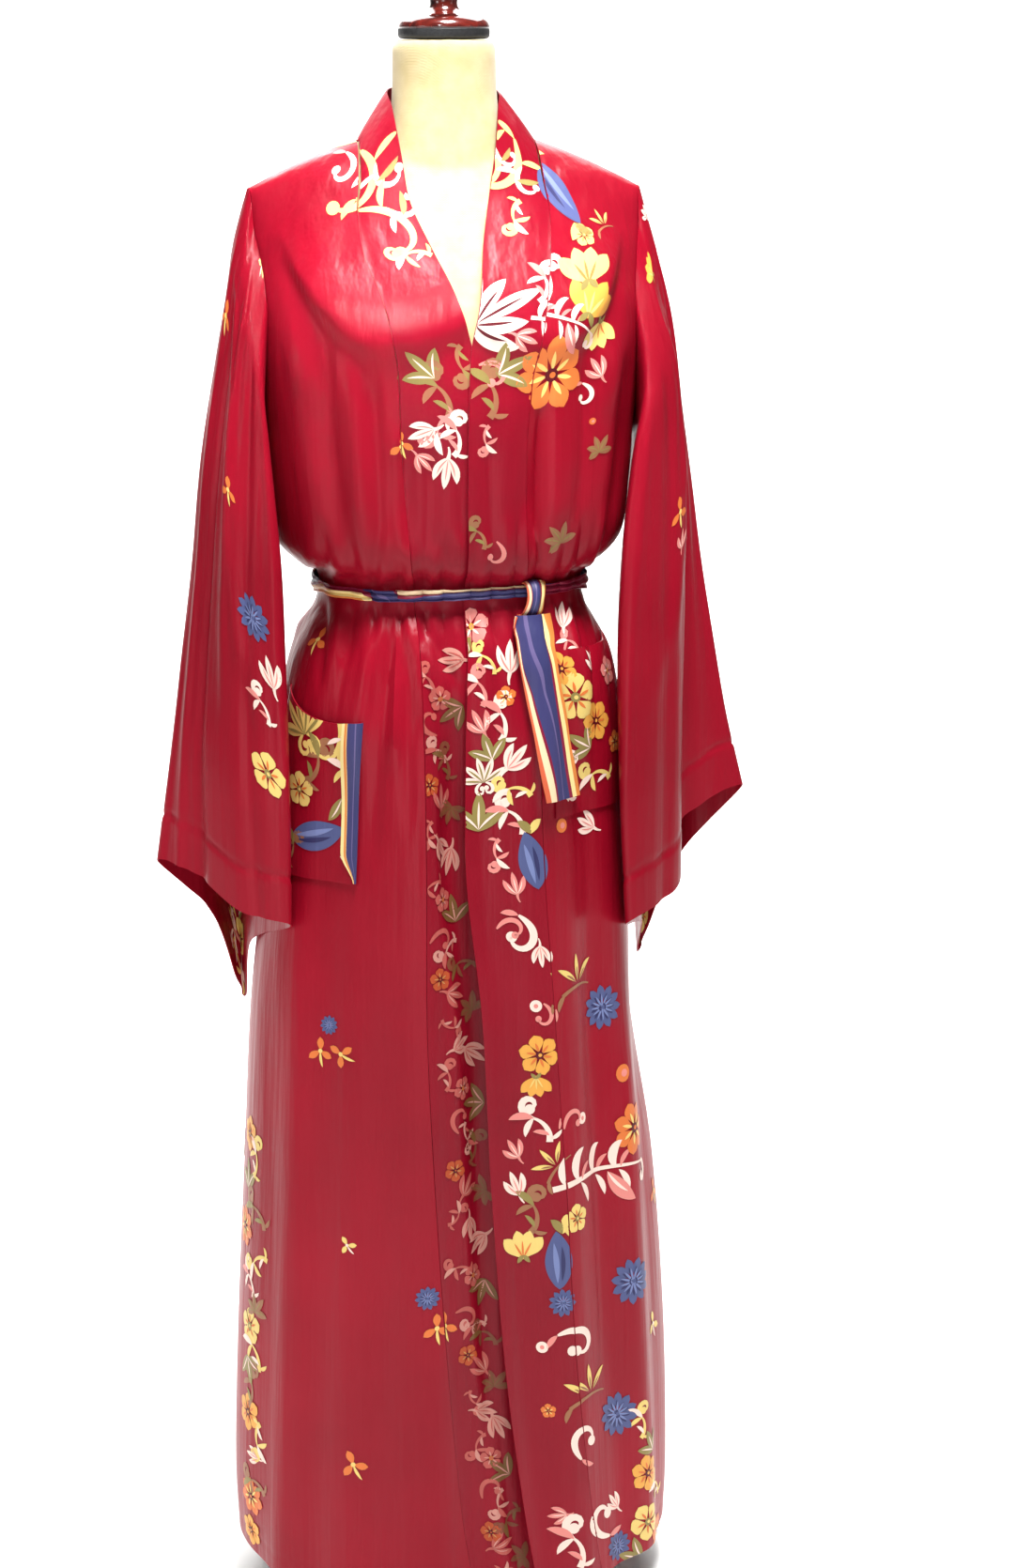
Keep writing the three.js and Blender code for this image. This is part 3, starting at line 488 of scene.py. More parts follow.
def mixColours(add, factor, first, second):
    ramp = add("ShaderNodeValToRGB", {"Fac": factor})
    ramp.color_ramp.elements[0].position = 0.3
    ramp.color_ramp.elements[0].color = linear(*first)
    ramp.color_ramp.elements[1].position = 0.7
    ramp.color_ramp.elements[1].color = linear(*second)
    return ramp.outputs["Color"]


def dye(name, colour, roughness=0.46):
    # A printed colour: the same cloth, its colour the same all over.
    material, tree, shader, add = nodeTools(name)
    bump = satinBump(add, (2600.0, 260.0, 1.0), 0.12)
    tree.links.new(bump.outputs["Normal"], shader.inputs["Normal"])
    shader.inputs["Base Color"].default_value = linear(*colour)
    shader.inputs["Roughness"].default_value = roughness
    shader.inputs["Specular IOR Level"].default_value = 0.3
    return material


stripeBands = ((0.0, (214, 100, 66)), (0.06, (244, 214, 172)), (0.15, (132, 24, 54)), (0.19, (62, 60, 108)),
               (0.38, (104, 92, 138)), (0.42, (56, 56, 102)), (0.62, (136, 28, 58)),
               (0.72, (244, 222, 152)),
               (0.86, (222, 134, 66)))


def stripedSatin(name):
    material, tree, shader, add = nodeTools(name)
    uv = add("ShaderNodeUVMap", uv_map="stripe")
    split = add("ShaderNodeSeparateXYZ", {"Vector": uv.outputs["UV"]})
    ramp = add("ShaderNodeValToRGB", {"Fac": split.outputs["X"]})
    ramp.color_ramp.interpolation = "CONSTANT"
    while len(ramp.color_ramp.elements) < len(stripeBands):
        ramp.color_ramp.elements.new(0.5)
    for element, (start, colour) in zip(ramp.color_ramp.elements, stripeBands):
        element.position = start
        element.color = linear(*colour)
    bump = satinBump(add, (2600.0, 260.0, 1.0), 0.3)
    tree.links.new(ramp.outputs["Color"], shader.inputs["Base Color"])
    tree.links.new(bump.outputs["Normal"], shader.inputs["Normal"])
    shader.inputs["Roughness"].default_value = 0.42
    shader.inputs["Specular IOR Level"].default_value = 0.3
    return material


def linen(name):
    material, tree, shader, add = nodeTools(name)
    place = add("ShaderNodeTexCoord")
    warp = add("ShaderNodeTexWave", {"Vector": place.outputs["Object"], "Scale": 230.0, "Distortion": 1.2,
                                     "Detail": 2.0}, wave_type="BANDS", bands_direction="DIAGONAL")
    weft = add("ShaderNodeTexWave", {"Vector": place.outputs["Object"], "Scale": 250.0, "Distortion": 1.4,
                                     "Detail": 2.0}, wave_type="BANDS", bands_direction="Z")
    threads = add("ShaderNodeMath", {0: warp.outputs["Fac"], 1: weft.outputs["Fac"]}, operation="ADD")
    slub = add("ShaderNodeTexNoise", {"Vector": place.outputs["Object"], "Scale": 60.0, "Detail": 5.0})
    tone = mixColours(add, slub.outputs["Fac"], (190, 172, 122), (202, 186, 140))
    bump = add("ShaderNodeBump", {"Height": threads.outputs["Value"], "Strength": 0.35, "Distance": 0.0003})
    tree.links.new(tone, shader.inputs["Base Color"])
    tree.links.new(bump.outputs["Normal"], shader.inputs["Normal"])
    shader.inputs["Roughness"].default_value = 0.9
    shader.inputs["Sheen Weight"].default_value = 0.3
    return material


def polishedWood(name):
    material, tree, shader, add = nodeTools(name)
    place = add("ShaderNodeTexCoord")
    stretch = add("ShaderNodeMapping", {"Vector": place.outputs["Object"], "Scale": (30.0, 160.0, 160.0)})
    grain = add("ShaderNodeTexNoise", {"Vector": stretch.outputs["Vector"], "Scale": 1.0, "Detail": 5.0,
                                       "Distortion": 0.6})
    tone = mixColours(add, grain.outputs["Fac"], (46, 10, 8), (104, 28, 20))
    bump = add("ShaderNodeBump", {"Height": grain.outputs["Fac"], "Strength": 0.1, "Distance": 0.0003})
    tree.links.new(tone, shader.inputs["Base Color"])
    tree.links.new(bump.outputs["Normal"], shader.inputs["Normal"])
    shader.inputs["Roughness"].default_value = 0.2
    shader.inputs["Coat Weight"].default_value = 0.8
    shader.inputs["Coat Roughness"].default_value = 0.06
    return material


def brushedSteel(name):
    material, tree, shader, add = nodeTools(name)
    place = add("ShaderNodeTexCoord")
    stretch = add("ShaderNodeMapping", {"Vector": place.outputs["Object"], "Scale": (60.0, 60.0, 1500.0)})
    brush = add("ShaderNodeTexNoise", {"Vector": stretch.outputs["Vector"], "Scale": 1.0, "Detail": 3.0})
    gloss = add("ShaderNodeMapRange", {"Value": brush.outputs["Fac"], "To Min": 0.22, "To Max": 0.42})
    bump = add("ShaderNodeBump", {"Height": brush.outputs["Fac"], "Strength": 0.08, "Distance": 0.0002})
    tree.links.new(gloss.outputs["Result"], shader.inputs["Roughness"])
    tree.links.new(bump.outputs["Normal"], shader.inputs["Normal"])
    shader.inputs["Base Color"].default_value = linear(176, 178, 180)
    shader.inputs["Metallic"].default_value = 1.0
    return material


def blackIron(name):
    material, tree, shader, add = nodeTools(name)
    place = add("ShaderNodeTexCoord")
    casting = add("ShaderNodeTexNoise", {"Vector": place.outputs["Object"], "Scale": 420.0, "Detail": 4.0})
    tone = mixColours(add, casting.outputs["Fac"], (24, 24, 25), (44, 44, 46))
    bump = add("ShaderNodeBump", {"Height": casting.outputs["Fac"], "Strength": 0.4, "Distance": 0.0004})
    tree.links.new(tone, shader.inputs["Base Color"])
    tree.links.new(bump.outputs["Normal"], shader.inputs["Normal"])
    shader.inputs["Roughness"].default_value = 0.5
    return material


def palePaint(name):
    material, tree, shader, add = nodeTools(name)
    place = add("ShaderNodeTexCoord")
    mottle = add("ShaderNodeTexNoise", {"Vector": place.outputs["Object"], "Scale": 1.5, "Detail": 2.0})
    tone = mixColours(add, mottle.outputs["Fac"], (244, 243, 241), (249, 248, 246))
    tree.links.new(tone, shader.inputs["Base Color"])
    shader.inputs["Roughness"].default_value = 0.9
    return material


robeSatin = satin("robe_satin", (137, 7, 29), (155, 12, 36))
# The band's satin is a little darker than the robe's: painted shade for the part of the band under the lap,
# though the tone covers the whole band.
bandSatinShaded = satin("band_satin", (128, 7, 28), (147, 11, 35))
beltSatin = stripedSatin("striped_satin")
dyeColours = {
    "cream": (248, 218, 204), "rose": (226, 136, 128), "yellow": (232, 202, 116), "amber": (230, 164, 70),
    "orange": (220, 116, 54), "olive": (144, 128, 70), "brown": (156, 104, 72), "blue": (78, 86, 132),
    "haze": (116, 128, 176), "navy": (48, 48, 92), "wine": (92, 12, 26)}
# The print on the band under the lap is painted darker and redder: painted shade for the shadow the lap
# casts on it.
lapShade = (0.8, 0.62, 0.6)
dyes = {name: dye("print_" + name, colour) for name, colour in dyeColours.items()}
# A copy of each dye darkened by lapShade, as painted shade for the print under the lap.
for name, colour in dyeColours.items():
    dyes[name + "Dull"] = dye("print_" + name + "_dull",
                              [share * value for share, value in zip(lapShade, colour)])
print("finishes made")


# Panels.

def frontPanel(side):
    place = evenPlaces(0, robe["hem"], robe["spacing"])
    seam = frontAngle(bodyColumn("rightSeam" if side < 0 else "leftSeam", place), place)
    edge = side * armholeAngle(place, "front")
    start, end = (edge, seam) if side < 0 else (seam, edge)
    share = np.linspace(0, 1, 52)
    angle = start[:, None] + (end - start)[:, None] * share
    place = np.broadcast_to(place[:, None], angle.shape)
    lift = hemTurning(robe["hem"], place)
    if side > 0:
        lift = lift + lapAt(angle, place)
    return pulledBack(spotAt(angle, place, lift))


def hemTurning(lastPlace, place):
    # The turned-up hem: a shallow groove where it is stitched.
    z = bodyColumn("z", place) - body["z"][lastPlace]
    return -hemStitch["depth"] * np.exp(-(((z - hemStitch["front"]) / hemStitch["halfWidth"]) ** 2))


def pulledBack(grid):
    # Half a seam gap off each border.
    moved = grid.copy()
    for axis in (0, 1):
        for edge, inner in ((0, 1), (-1, -2)):
            border = np.take(grid, edge, axis)
            inward = unit(np.take(grid, inner, axis) - border) * robe["seamGap"] / 2
            if axis == 0:
                moved[edge] += inward
            else:
                moved[:, edge] += inward
    return moved


neckScoop = {"half": 84, "place": 2.6}


def backPanel():
    row = evenPlaces(0, robe["hem"], 5.0)[:, None]
    share = np.linspace(0, 1, 112)[None, :]
    x = body["left"][0] * np.sin(np.radians(90 - 180 * share))
    scoop = np.maximum(1 - (x / neckScoop["half"]) ** 2, 0)
    place = row + neckScoop["place"] * scoop * (1 - np.minimum(row / robe["underarm"], 1))
    edge = armholeAngle(place, "back")
    angle = edge + (360 - 2 * edge) * share
    return pulledBack(spotAt(angle, place, hemTurning(robe["hem"], place)))


# Sleeve sections from the armhole to the cuff, going round: over the top, the front
# face, the body side and the back. Each point is x outwards, y, z.
sleevePoints = ("outer", "crease", "fold", "front", "inner", "back", "tail")
sleeveRows = {
    -1: (
        ((200, 0, 1372), (197, -32, 1345), (189, -60, 1295), (180, -72, 1235), (183, 0, 1180),
         (183, 68, 1240), (193, 50, 1320)),
        ((209, 0, 1318), (206, -40, 1290), (197, -68, 1245), (177, -84, 1185), (181, 0, 1145),
         (188, 76, 1190), (201, 52, 1270)),
        ((235, -8, 1178), (225, -52, 1160), (208, -80, 1130), (171, -96, 1085), (178, 0, 1070),
         (194, 84, 1085), (216, 50, 1140)),
        ((247, -10, 1071), (235, -50, 1060), (214, -84, 1035), (170, -98, 1000), (176, 0, 1000),
         (198, 90, 985), (226, 50, 1035)),
        ((259, -14, 985), (244, -50, 975), (216, -88, 950), (168, -102, 910), (181, 0, 915), (202, 94, 880),
         (234, 50, 940)),
        ((270, -18, 905), (252, -52, 895), (218, -92, 872), (167, -104, 830), (189, 0, 830), (205, 96, 770),
         (238, 48, 850)),
        ((288, -20, 783), (256, -52, 778), (212, -95, 748), (169, -106, 737), (199, 0, 690), (201, 84, 606),
         (231, 42, 705)),
    ),
    1: (
        ((203, 0, 1360), (199, -30, 1330), (193, -60, 1285), (177, -76, 1235), (183, 0, 1180),
         (183, 68, 1240), (195, 50, 1310)),
        ((219, 0, 1286), (212, -32, 1262), (209, -64, 1235), (166, -96, 1180), (181, 0, 1145),
         (190, 76, 1180), (207, 52, 1240)),
        ((240, 0, 1149), (220, -32, 1135), (213, -72, 1115), (156, -106, 1085), (178, 0, 1070),
         (196, 84, 1070), (221, 50, 1110)),
        ((252, 0, 1062), (222, -30, 1050), (214, -76, 1035), (152, -109, 1000), (178, 0, 1000),
         (199, 88, 985), (229, 50, 1020)),
        ((266, 0, 980), (225, -28, 965), (215, -78, 950), (152, -112, 915), (183, 0, 915), (202, 90, 880),
         (236, 50, 930)),
        ((280, 0, 905), (227, -27, 890), (216, -78, 868), (154, -114, 830), (189, 0, 830), (204, 88, 770),
         (242, 48, 850)),
        ((298, 0, 830), (228, -25, 801), (216, -78, 751), (160, -114, 726), (197, 0, 690), (207, 62, 641),
         (241, 40, 745)),
    ),
}
sleeveSet = {"around": 120, "spacing": 5.0, "armholeLift": 0.4, "relief": 1.5}

# Sleeve creases: share round and row at the start, share round and row at the end, height, half width.
sleeveCreases = (
    (0.06, 0.4, 0.10, 7.0, 2.0, 9), (0.13, 0.8, 0.17, 7.0, -2.6, 8), (0.22, 0.2, 0.25, 5.6, 2.2, 9),
    (0.31, 0.9, 0.33, 7.0, -2.2, 9), (0.38, 1.2, 0.42, 6.6, 1.8, 8), (0.03, 2.2, 0.05, 7.0, -1.4, 12),
    (0.10, 1.0, 0.30, 3.4, 1.6, 12), (0.18, 2.0, 0.36, 5.2, 1.4, 13), (0.72, 0.8, 0.74, 7.0, -2.4, 10),
    (0.80, 0.5, 0.83, 6.6, 2.4, 10), (0.88, 0.8, 0.89, 7.0, -2.0, 9), (0.94, 1.2, 0.96, 6.2, 1.8, 9),
)


def closedCurve(corners, share):
    # A centripetal curve through the corner points and back to the first.
    count = len(corners)
    at = share * count
    i = np.floor(at).astype(int) % count
    t = (at - np.floor(at))[:, None]
    p = [corners[(i + k) % count] for k in (-1, 0, 1, 2)]
    d = [np.sqrt(np.linalg.norm(p[k + 1] - p[k], axis=1))[:, None] for k in range(3)]
    first = ((p[1] - p[0]) / d[0] - (p[2] - p[0]) / (d[0] + d[1]) + (p[2] - p[1]) / d[1]) * d[1]
    second = ((p[2] - p[1]) / d[1] - (p[3] - p[1]) / (d[1] + d[2]) + (p[3] - p[2]) / d[2]) * d[1]
    return (p[1] + first * t + (-3 * p[1] + 3 * p[2] - 2 * first - second) * t**2
            + (2 * p[1] - 2 * p[2] + first + second) * t**3)


def armholeRing(side, share):
    bottom = sleevePoints.index("inner") / len(sleevePoints)
    onFront = share <= bottom
    down = robe["underarm"] * np.where(onFront, share / bottom, (1 - share) / (1 - bottom))
    angle = side * np.where(onFront, armholeAngle(down, "front"), armholeAngle(down, "back"))
    ring = spotAt(angle, down, sleeveSet["armholeLift"])
    ring[:, 0] += side * sleeveSet["armholeLift"]
    return ring


def sleeve(side):
    share = np.arange(sleeveSet["around"]) / sleeveSet["around"]
    rings = [armholeRing(side, share)]
    for row in sleeveRows[side]:
        corners = np.array(row, float) * (side, 1, 1)
        rings.append(closedCurve(corners, share))
    rings = np.array(rings)
    runs = np.linalg.norm(np.diff(rings, axis=0), axis=2).max(axis=1)
    places = [np.linspace(k, k + 1, ceil(run / sleeveSet["spacing"]), endpoint=False)
              for k, run in enumerate(runs)]
    place = np.append(np.concatenate(places), len(rings) - 1)
    grid = columnAt(rings, np.maximum(place, 0))
    if side > 0:
        grid = np.concatenate([grid[:, :1], grid[:, :0:-1]], axis=1)
        share = np.concatenate([share[:1], share[:0:-1]])
    normals = gridNormals(grid, closed=True)
    return grid + normals * sleeveCreaseHeight(grid, share, place)[..., None]


def sleeveCreaseHeight(grid, share, place):
    across, down = measured(grid, True)
    ringRun = across[:, -1:]
    height = np.zeros(grid.shape[:2])
    for fromShare, fromPlace, toShare, toPlace, rise, halfWidth in sleeveCreases:
        t = ((place - fromPlace) / (toPlace - fromPlace))[:, None]
        off = (share[None, :] - (fromShare + (toShare - fromShare) * t)) * ringRun
        ends = smooth(t, 0, 0.25) * (1 if toPlace >= 7 else 1 - smooth(t, 0.7, 1))
        height += sleeveSet["relief"] * rise * np.exp(-((off / halfWidth) ** 2)) * ends
    toCuff = down[-1:, :-1] - down[:, :-1]
    stitch = np.exp(-(((toCuff - hemStitch["cuff"]) / (1.6 * hemStitch["halfWidth"])) ** 2))
    thicker = 0.5 * smooth(hemStitch["cuff"] - toCuff, 0, 2)
    return height - 1.6 * hemStitch["depth"] * stitch + thicker


# The band above the chest: place and x of its seam, x of its free edge right and left, and
# y and z of that edge.
neckStops = (
    (3, 87, -47, 39, -50, 1450), (2, 85, -50, 44, -33, 1476), (1, 84, -52, 48, -16, 1496),
    (0, 83, -54, 52, 2, 1507), (1, 72, -50, 50, 26, 1511), (2, 50, -38, 38, 46, 1513),
    (2.5, 26, -21, 21, 58, 1514),
)
neckBack = {"place": 2.6, "edgeY": 61, "edgeZ": 1515}
underGroove = {"from": 30, "width": 18, "depth": 10, "roll": 4.5}
band = {"columns": 17, "crown": 1.2, "seamInset": 2.6, "chestPlace": 5, "spacing": 4.5}


def bandAcross(edge, seam, normal):
    share = np.linspace(0, 1, band["columns"])[:, None]
    return edge + (seam - edge) * share + normal * 4 * share * (1 - share) * band["crown"]


def bandOnFront(side, place):
    share = np.linspace(0, 1, band["columns"])
    edge = bodyColumn("rightEdge" if side < 0 else "leftEdge", place)[:, None]
    seam = bodyColumn("rightSeam" if side < 0 else "leftSeam", place)[:, None]
    inset = np.where(share == 1, side * robe["seamGap"], 0)
    place = np.broadcast_to(place[:, None], (len(place), len(share)))
    angle = frontAngle(edge + (seam - edge) * share - inset, place)
    roll = 0.5 * np.exp(-((share / 0.05) ** 2)) - 0.5 * np.exp(-(((share - 0.93) / 0.04) ** 2))
    low = smooth(bodyColumn("z", place), 1000, 820)
    if side > 0:
        edgeRoll = underGroove["roll"] * low * np.exp(-((share / 0.16) ** 2))
        return spotAt(angle, place, lapAt(angle, place) + roll + edgeRoll)
    behind = bodyColumn("leftEdge", place) - underGroove["from"]
    x = edge + (seam - edge) * share
    deep = underGroove["depth"] * low * smooth(x, behind, behind + underGroove["width"])
    return spotAt(angle, place, roll - deep)


def bandAtNeck(side, stop, onFront):
    place, x, rightX, leftX, edgeY, edgeZ = stop
    place = np.array([max(place, 0.01)])
    front = frontAngle(np.array([x]), place)
    angle = side * (front if onFront else 180 - front)
    seam = spotAt(angle, place, 0.0)[0]
    edge = np.array([rightX if side < 0 else leftX, edgeY, edgeZ])
    inward = unit(edge - seam)
    seam = seam + inward * band["seamInset"]
    normal = unit(np.cross(inward, np.cross((0, 0, 1), inward)))
    return bandAcross(edge, seam, normal if normal[2] > 0 else -normal)


def neckband():
    chest = band["chestPlace"]
    place = evenPlaces(chest, robe["hem"], band["spacing"])
    right, left = bandOnFront(-1, place[::-1]), bandOnFront(1, place)
    over = np.array([chest + 1.0, chest, chest - 1.0])
    rows = list(bandOnFront(-1, over)) + [bandAtNeck(-1, stop, k < 4) for k, stop in enumerate(neckStops)]
    middleSeam = spotAt(np.array([180.0]), np.array([neckBack["place"]]), 0.0)[0]
    middleEdge = np.array([0, neckBack["edgeY"], neckBack["edgeZ"]])
    up = unit(middleEdge - middleSeam)
    outward = np.cross((1, 0, 0), up)
    rows.append(bandAcross(middleEdge, middleSeam + up * band["seamInset"], outward * np.sign(outward[1])))
    rows += [bandAtNeck(1, neckStops[k], k < 4) for k in range(len(neckStops) - 1, -1, -1)]
    rows += list(bandOnFront(1, over[::-1]))
    rows = np.array(rows)
    runs = np.linalg.norm(np.diff(rows, axis=0), axis=2).max(axis=1)[1:-1]
    stops = [np.linspace(k + 1, k + 2, ceil(run / band["spacing"]), endpoint=False)
             for k, run in enumerate(runs)]
    neck = columnAt(rows, np.concatenate(stops)[1:])
    return np.concatenate([right, neck, left])


pieces = {}
pieces["back"] = clothShell("robe_back", backPanel(), robeSatin)
pieces["right_front"] = clothShell("robe_right_front", frontPanel(-1), robeSatin)
pieces["left_front"] = clothShell("robe_left_front", frontPanel(1), robeSatin)
pieces["right_sleeve"] = clothShell("robe_right_sleeve", sleeve(-1), robeSatin, closed=True)
pieces["left_sleeve"] = clothShell("robe_left_sleeve", sleeve(1), robeSatin, closed=True)
pieces["neckband"] = clothShell("robe_neckband", neckband(), bandSatinShaded)
print("panels, sleeves and neckband made")


# Pockets.

pocketSet = (
    {"name": "right_pocket", "side": -1, "inner": 32, "outer": 76, "topInner": 934, "topOuter": 956,
     "bottom": 778, "sag": 12, "trimTurn": 6.4, "trimEnd": 0.99},
    {"name": "left_pocket", "side": 1, "inner": 24, "outer": 74, "topInner": 996, "topOuter": 1000,
     "bottom": 838, "sag": 6, "trimTurn": 4.5, "trimEnd": 0.88},
)
pocketShape = {"edgeLift": 1.7, "fullness": 2.0, "lip": 3.0, "trimLift": 1.5, "taper": 0.8}


def pocketGrid(pocket, angle, down, extra=0.0):
    # angle and down are grids, down is 0 along the pocket's top edge and 1 along its bottom.
    side = pocket["side"]
    share = (np.abs(angle) - pocket["inner"]) / (pocket["outer"] - pocket["inner"])
    bulge = np.sqrt(np.clip(4 * share * (1 - share), 0, 1))
    top = pocket["topInner"] + (pocket["topOuter"] - pocket["topInner"]) * share - pocket["sag"] * bulge**2
    z = top + (pocket["bottom"] - top) * down
    place = placeAtHeight(z)
    lift = pocketShape["edgeLift"] + bulge * (1 - down**4) * pocketShape["fullness"]
    lift = lift + bulge * pocketShape["lip"] * (1 - down) ** 3 + extra
    if side > 0:
        lift = lift + lapAt(angle, place)
    return spotAt(angle, place, lift)


def trimStripes(down, across):
    # The strip is folded so that its cream and orange edge comes before the navy.
    return np.where(across < 0.44, 0.78 + 0.4 * across, 0.2 + 0.75 * (across - 0.44))


def makePocket(pocket):
    side = pocket["side"]
    turns = np.sort(side * np.linspace(pocket["inner"], pocket["outer"], 34))
    down, angle = np.meshgrid(np.linspace(0, 1, 42), turns, indexing="ij")
    name = pocket["name"]
    pieces[name] = clothShell("robe_" + name, pocketGrid(pocket, angle, down), robeSatin)
    down, share = np.meshgrid(np.linspace(0, pocket["trimEnd"], 48), np.linspace(0, 1, 10), indexing="ij")
    narrow = 1 - 0.86 * smooth(down, pocketShape["taper"], 1)
    turn = pocket["inner"] + pocket["trimTurn"] * (share if side > 0 else 1 - share) * narrow
    trim = pocketGrid(pocket, side * turn, down, pocketShape["trimLift"])
    trimName = name + "_trim"
    pieces[trimName] = clothShell("robe_" + trimName, trim, beltSatin, wall=0.9,
                                  stripe=trimStripes)


for pocket in pocketSet:
    makePocket(pocket)
print("pockets made")


# Belt.

beltSet = {
    "lift": 2.6, "around": 300, "rows": 15, "z": 1048,
    "width": 25, "pinched": 10,     # flat behind, drawn together in front
    "frontFrom": (-110, -70), "frontTo": (50, 100), "frontRise": 3,
    "wave": 1.5, "bow": 1.4, "clear": 0.6, "pleat": 0.5, "frontPleat": 0.9,
    "bunches": ((-27, 7, 2.6), (-62, 6, 1.4)),      # angle, half width in degrees, height
}
# How the folded belt turns its stripes outwards: angle, first and last share of its width that shows.
beltTurns = ((-180, 0, 1), (-100, 0, 1), (-78, 0.62, 0.92), (-42, 0.63, 0.9), (-25, 0.1, 0.22),
             (-12, 0.06, 0.3),
             (-2, 0.1, 0.42), (24, 0.08, 0.55), (33, 0.62, 0.7), (76, 0.63, 0.71), (100, 0, 1), (180, 0, 1))
knotSet = {"x": 62, "z": 1045, "width": 22, "out": 13, "half": 17, "wall": 1.4, "wrapped": 112,
           "clear": 2.4, "pleat": 0.9, "lean": 0.16}
tailSet = {"topX": 58, "bottomX": 86, "halfTop": 9, "halfBottom": 17.5, "top": 1031, "bottom": 857,
           "lift": 8.2, "liftAtKnot": 14, "curl": 0.7, "roll": 1.6, "pinch": 1.5}


def levelSpot(angle, place, lift):
    normal = surfaceNormal(clothPoint, angle, place)
    normal[..., 2] = 0
    normal = unit(normal)
    lap = np.where(angle > 0, lapAt(angle, place), robe["lapLift"] * smooth(angle, -45, -15))
    return clothPoint(angle, place) + normal * (lap + lift)[..., None], normal


def beltGrid():
    turn = np.linspace(-180, 180, beltSet["around"], endpoint=False)
    angle, across = np.meshgrid(turn, np.linspace(0, 1, beltSet["rows"]))
    inFront = smooth(angle, *beltSet["frontFrom"]) * (1 - smooth(angle, *beltSet["frontTo"]))
    width = beltSet["width"] - (beltSet["width"] - beltSet["pinched"]) * inFront
    wave = beltSet["wave"] * np.sin(np.radians(angle * 2 + 40))
    middle = beltSet["z"] + wave + beltSet["frontRise"] * inFront
    z = middle + width * (0.5 - across)
    share = np.clip((body["z"][robe["beltTop"]] - z) / 28, -0.1, 1.1)
    top, normal = levelSpot(angle, np.full_like(angle, robe["beltTop"]),
                            np.full_like(angle, beltSet["lift"]))
    bottom, _ = levelSpot(angle, np.full_like(angle, robe["beltBottom"]),
                          np.full_like(angle, beltSet["lift"]))
    grid = top + (bottom - top) * share[..., None]
    grid[..., 2] = z
    bow = beltSet["bow"] * (1 - (2 * across - 1) ** 2)
    deep = beltSet["pleat"] + beltSet["frontPleat"] * inFront
    pleats = deep * np.cos(2 * pi * (2 * across + 0.25 * np.sin(np.radians(angle * 5))))
    bunch = sum(height * np.exp(-(((angle - at) / half) ** 2)) for at, half, height in beltSet["bunches"])
    return grid + normal * (bow + pleats + bunch + beltSet["clear"])[..., None]


def beltStripes(down, across):
    angles, first, last = np.array(beltTurns, float).T
    angle = -180 + 360 * across
    start, end = np.interp(angle, angles, first), np.interp(angle, angles, last)
    return start + (end - start) * down


def knotGrid():
    place = placeAtHeight(np.array([knotSet["z"]], float))
    angle = frontAngle(np.array([knotSet["x"]], float), place)
    point, normal = levelSpot(angle, place, np.array([beltSet["lift"] + 0.4]))
    point, normal = point[0], normal[0]
    side = np.cross((0, 0, 1), normal)
    wrap, across = np.meshgrid(np.radians(np.linspace(-knotSet["wrapped"], knotSet["wrapped"], 44)),
                               np.linspace(-1, 1, 17), indexing="ij")
    half = knotSet["width"] / 2 * (0.8 + 0.2 * np.abs(np.sin(wrap)) ** 1.5)
    pleats = knotSet["pleat"] * np.cos(across * 2.6 * pi + 0.6 * wrap) * np.cos(wrap / 1.4)
    reach = knotSet["out"] * np.maximum(np.cos(wrap), -0.3)
    out = knotSet["clear"] + reach * (1 - 0.32 * across**2) + pleats
    up = knotSet["half"] * np.sin(wrap) * (1 - 0.1 * across**2)
    lean = knotSet["lean"] * up
    grid = point + normal * out[..., None] + side * (across * half + lean)[..., None]
    grid[..., 2] = knotSet["z"] + up
    return grid[::-1]


def tailGrid():
    down, across = np.meshgrid(np.linspace(0, 1, 60), np.linspace(-1, 1, 15), indexing="ij")
    z = tailSet["top"] + (tailSet["bottom"] - tailSet["top"]) * down
    place = placeAtHeight(z)
    half = tailSet["halfTop"] + (tailSet["halfBottom"] - tailSet["halfTop"]) * down
    x = tailSet["topX"] + (tailSet["bottomX"] - tailSet["topX"]) * down + across * half
    angle = frontAngle(x, place)
    lift = tailSet["lift"] + (tailSet["liftAtKnot"] - tailSet["lift"]) * (1 - down) ** 4
    roll = tailSet["roll"] * np.sin(5 * down - 0.6) * across
    curl = tailSet["curl"] * np.sin(across * 2.2 + 5 * down) + roll
    pinch = tailSet["pinch"] * np.cos(across * 2 * pi) * (1 - smooth(down, 0, 0.4))
    return levelSpot(angle, place, lift + curl * smooth(down, 0.05, 0.4) + pinch)[0]


pieces["belt"] = clothShell("robe_belt", beltGrid(), beltSatin, closed=True,
                            stripe=beltStripes)
pieces["belt_knot"] = clothShell("robe_belt_knot", knotGrid(), beltSatin,
                                 wall=knotSet["wall"],
                                 stripe=lengthwise)
pieces["belt_tail"] = clothShell("robe_belt_tail", tailGrid(), beltSatin,
                                 stripe=lengthwise)
print("belt made")


# Print.
# A motif is a list of strokes. Each is a line of points with its half width at each point, a dye and
# a layer. x runs to the right and y up, in millimetres from the motif's middle.

def curve(start, heading, length, bend=0.0, tighten=1.0):
    steps = max(5, ceil(length / 3))
    turn = np.radians(heading + bend * np.linspace(0, 1, steps + 1) ** tighten)
    middle = (turn[1:] + turn[:-1]) / 2
    x = start[0] + np.append(0, np.cumsum(np.cos(middle))) * length / steps
    y = start[1] + np.append(0, np.cumsum(np.sin(middle))) * length / steps
    return np.stack([x, y], axis=1)


def leaf(start, heading, length, wide, dyed, bend=0, layer=0, fat=1.0):
    line = curve(start, heading, length, bend)
    return line, wide / 2 * np.abs(np.sin(pi * np.linspace(0, 1, len(line)) ** fat)) ** 0.8, dyed, layer


def stem(start, heading, length, wide, dyed, bend=0, layer=0):
    line = curve(start, heading, length, bend)
    return line, wide / 2 * np.linspace(1, 0.35, len(line)), dyed, layer


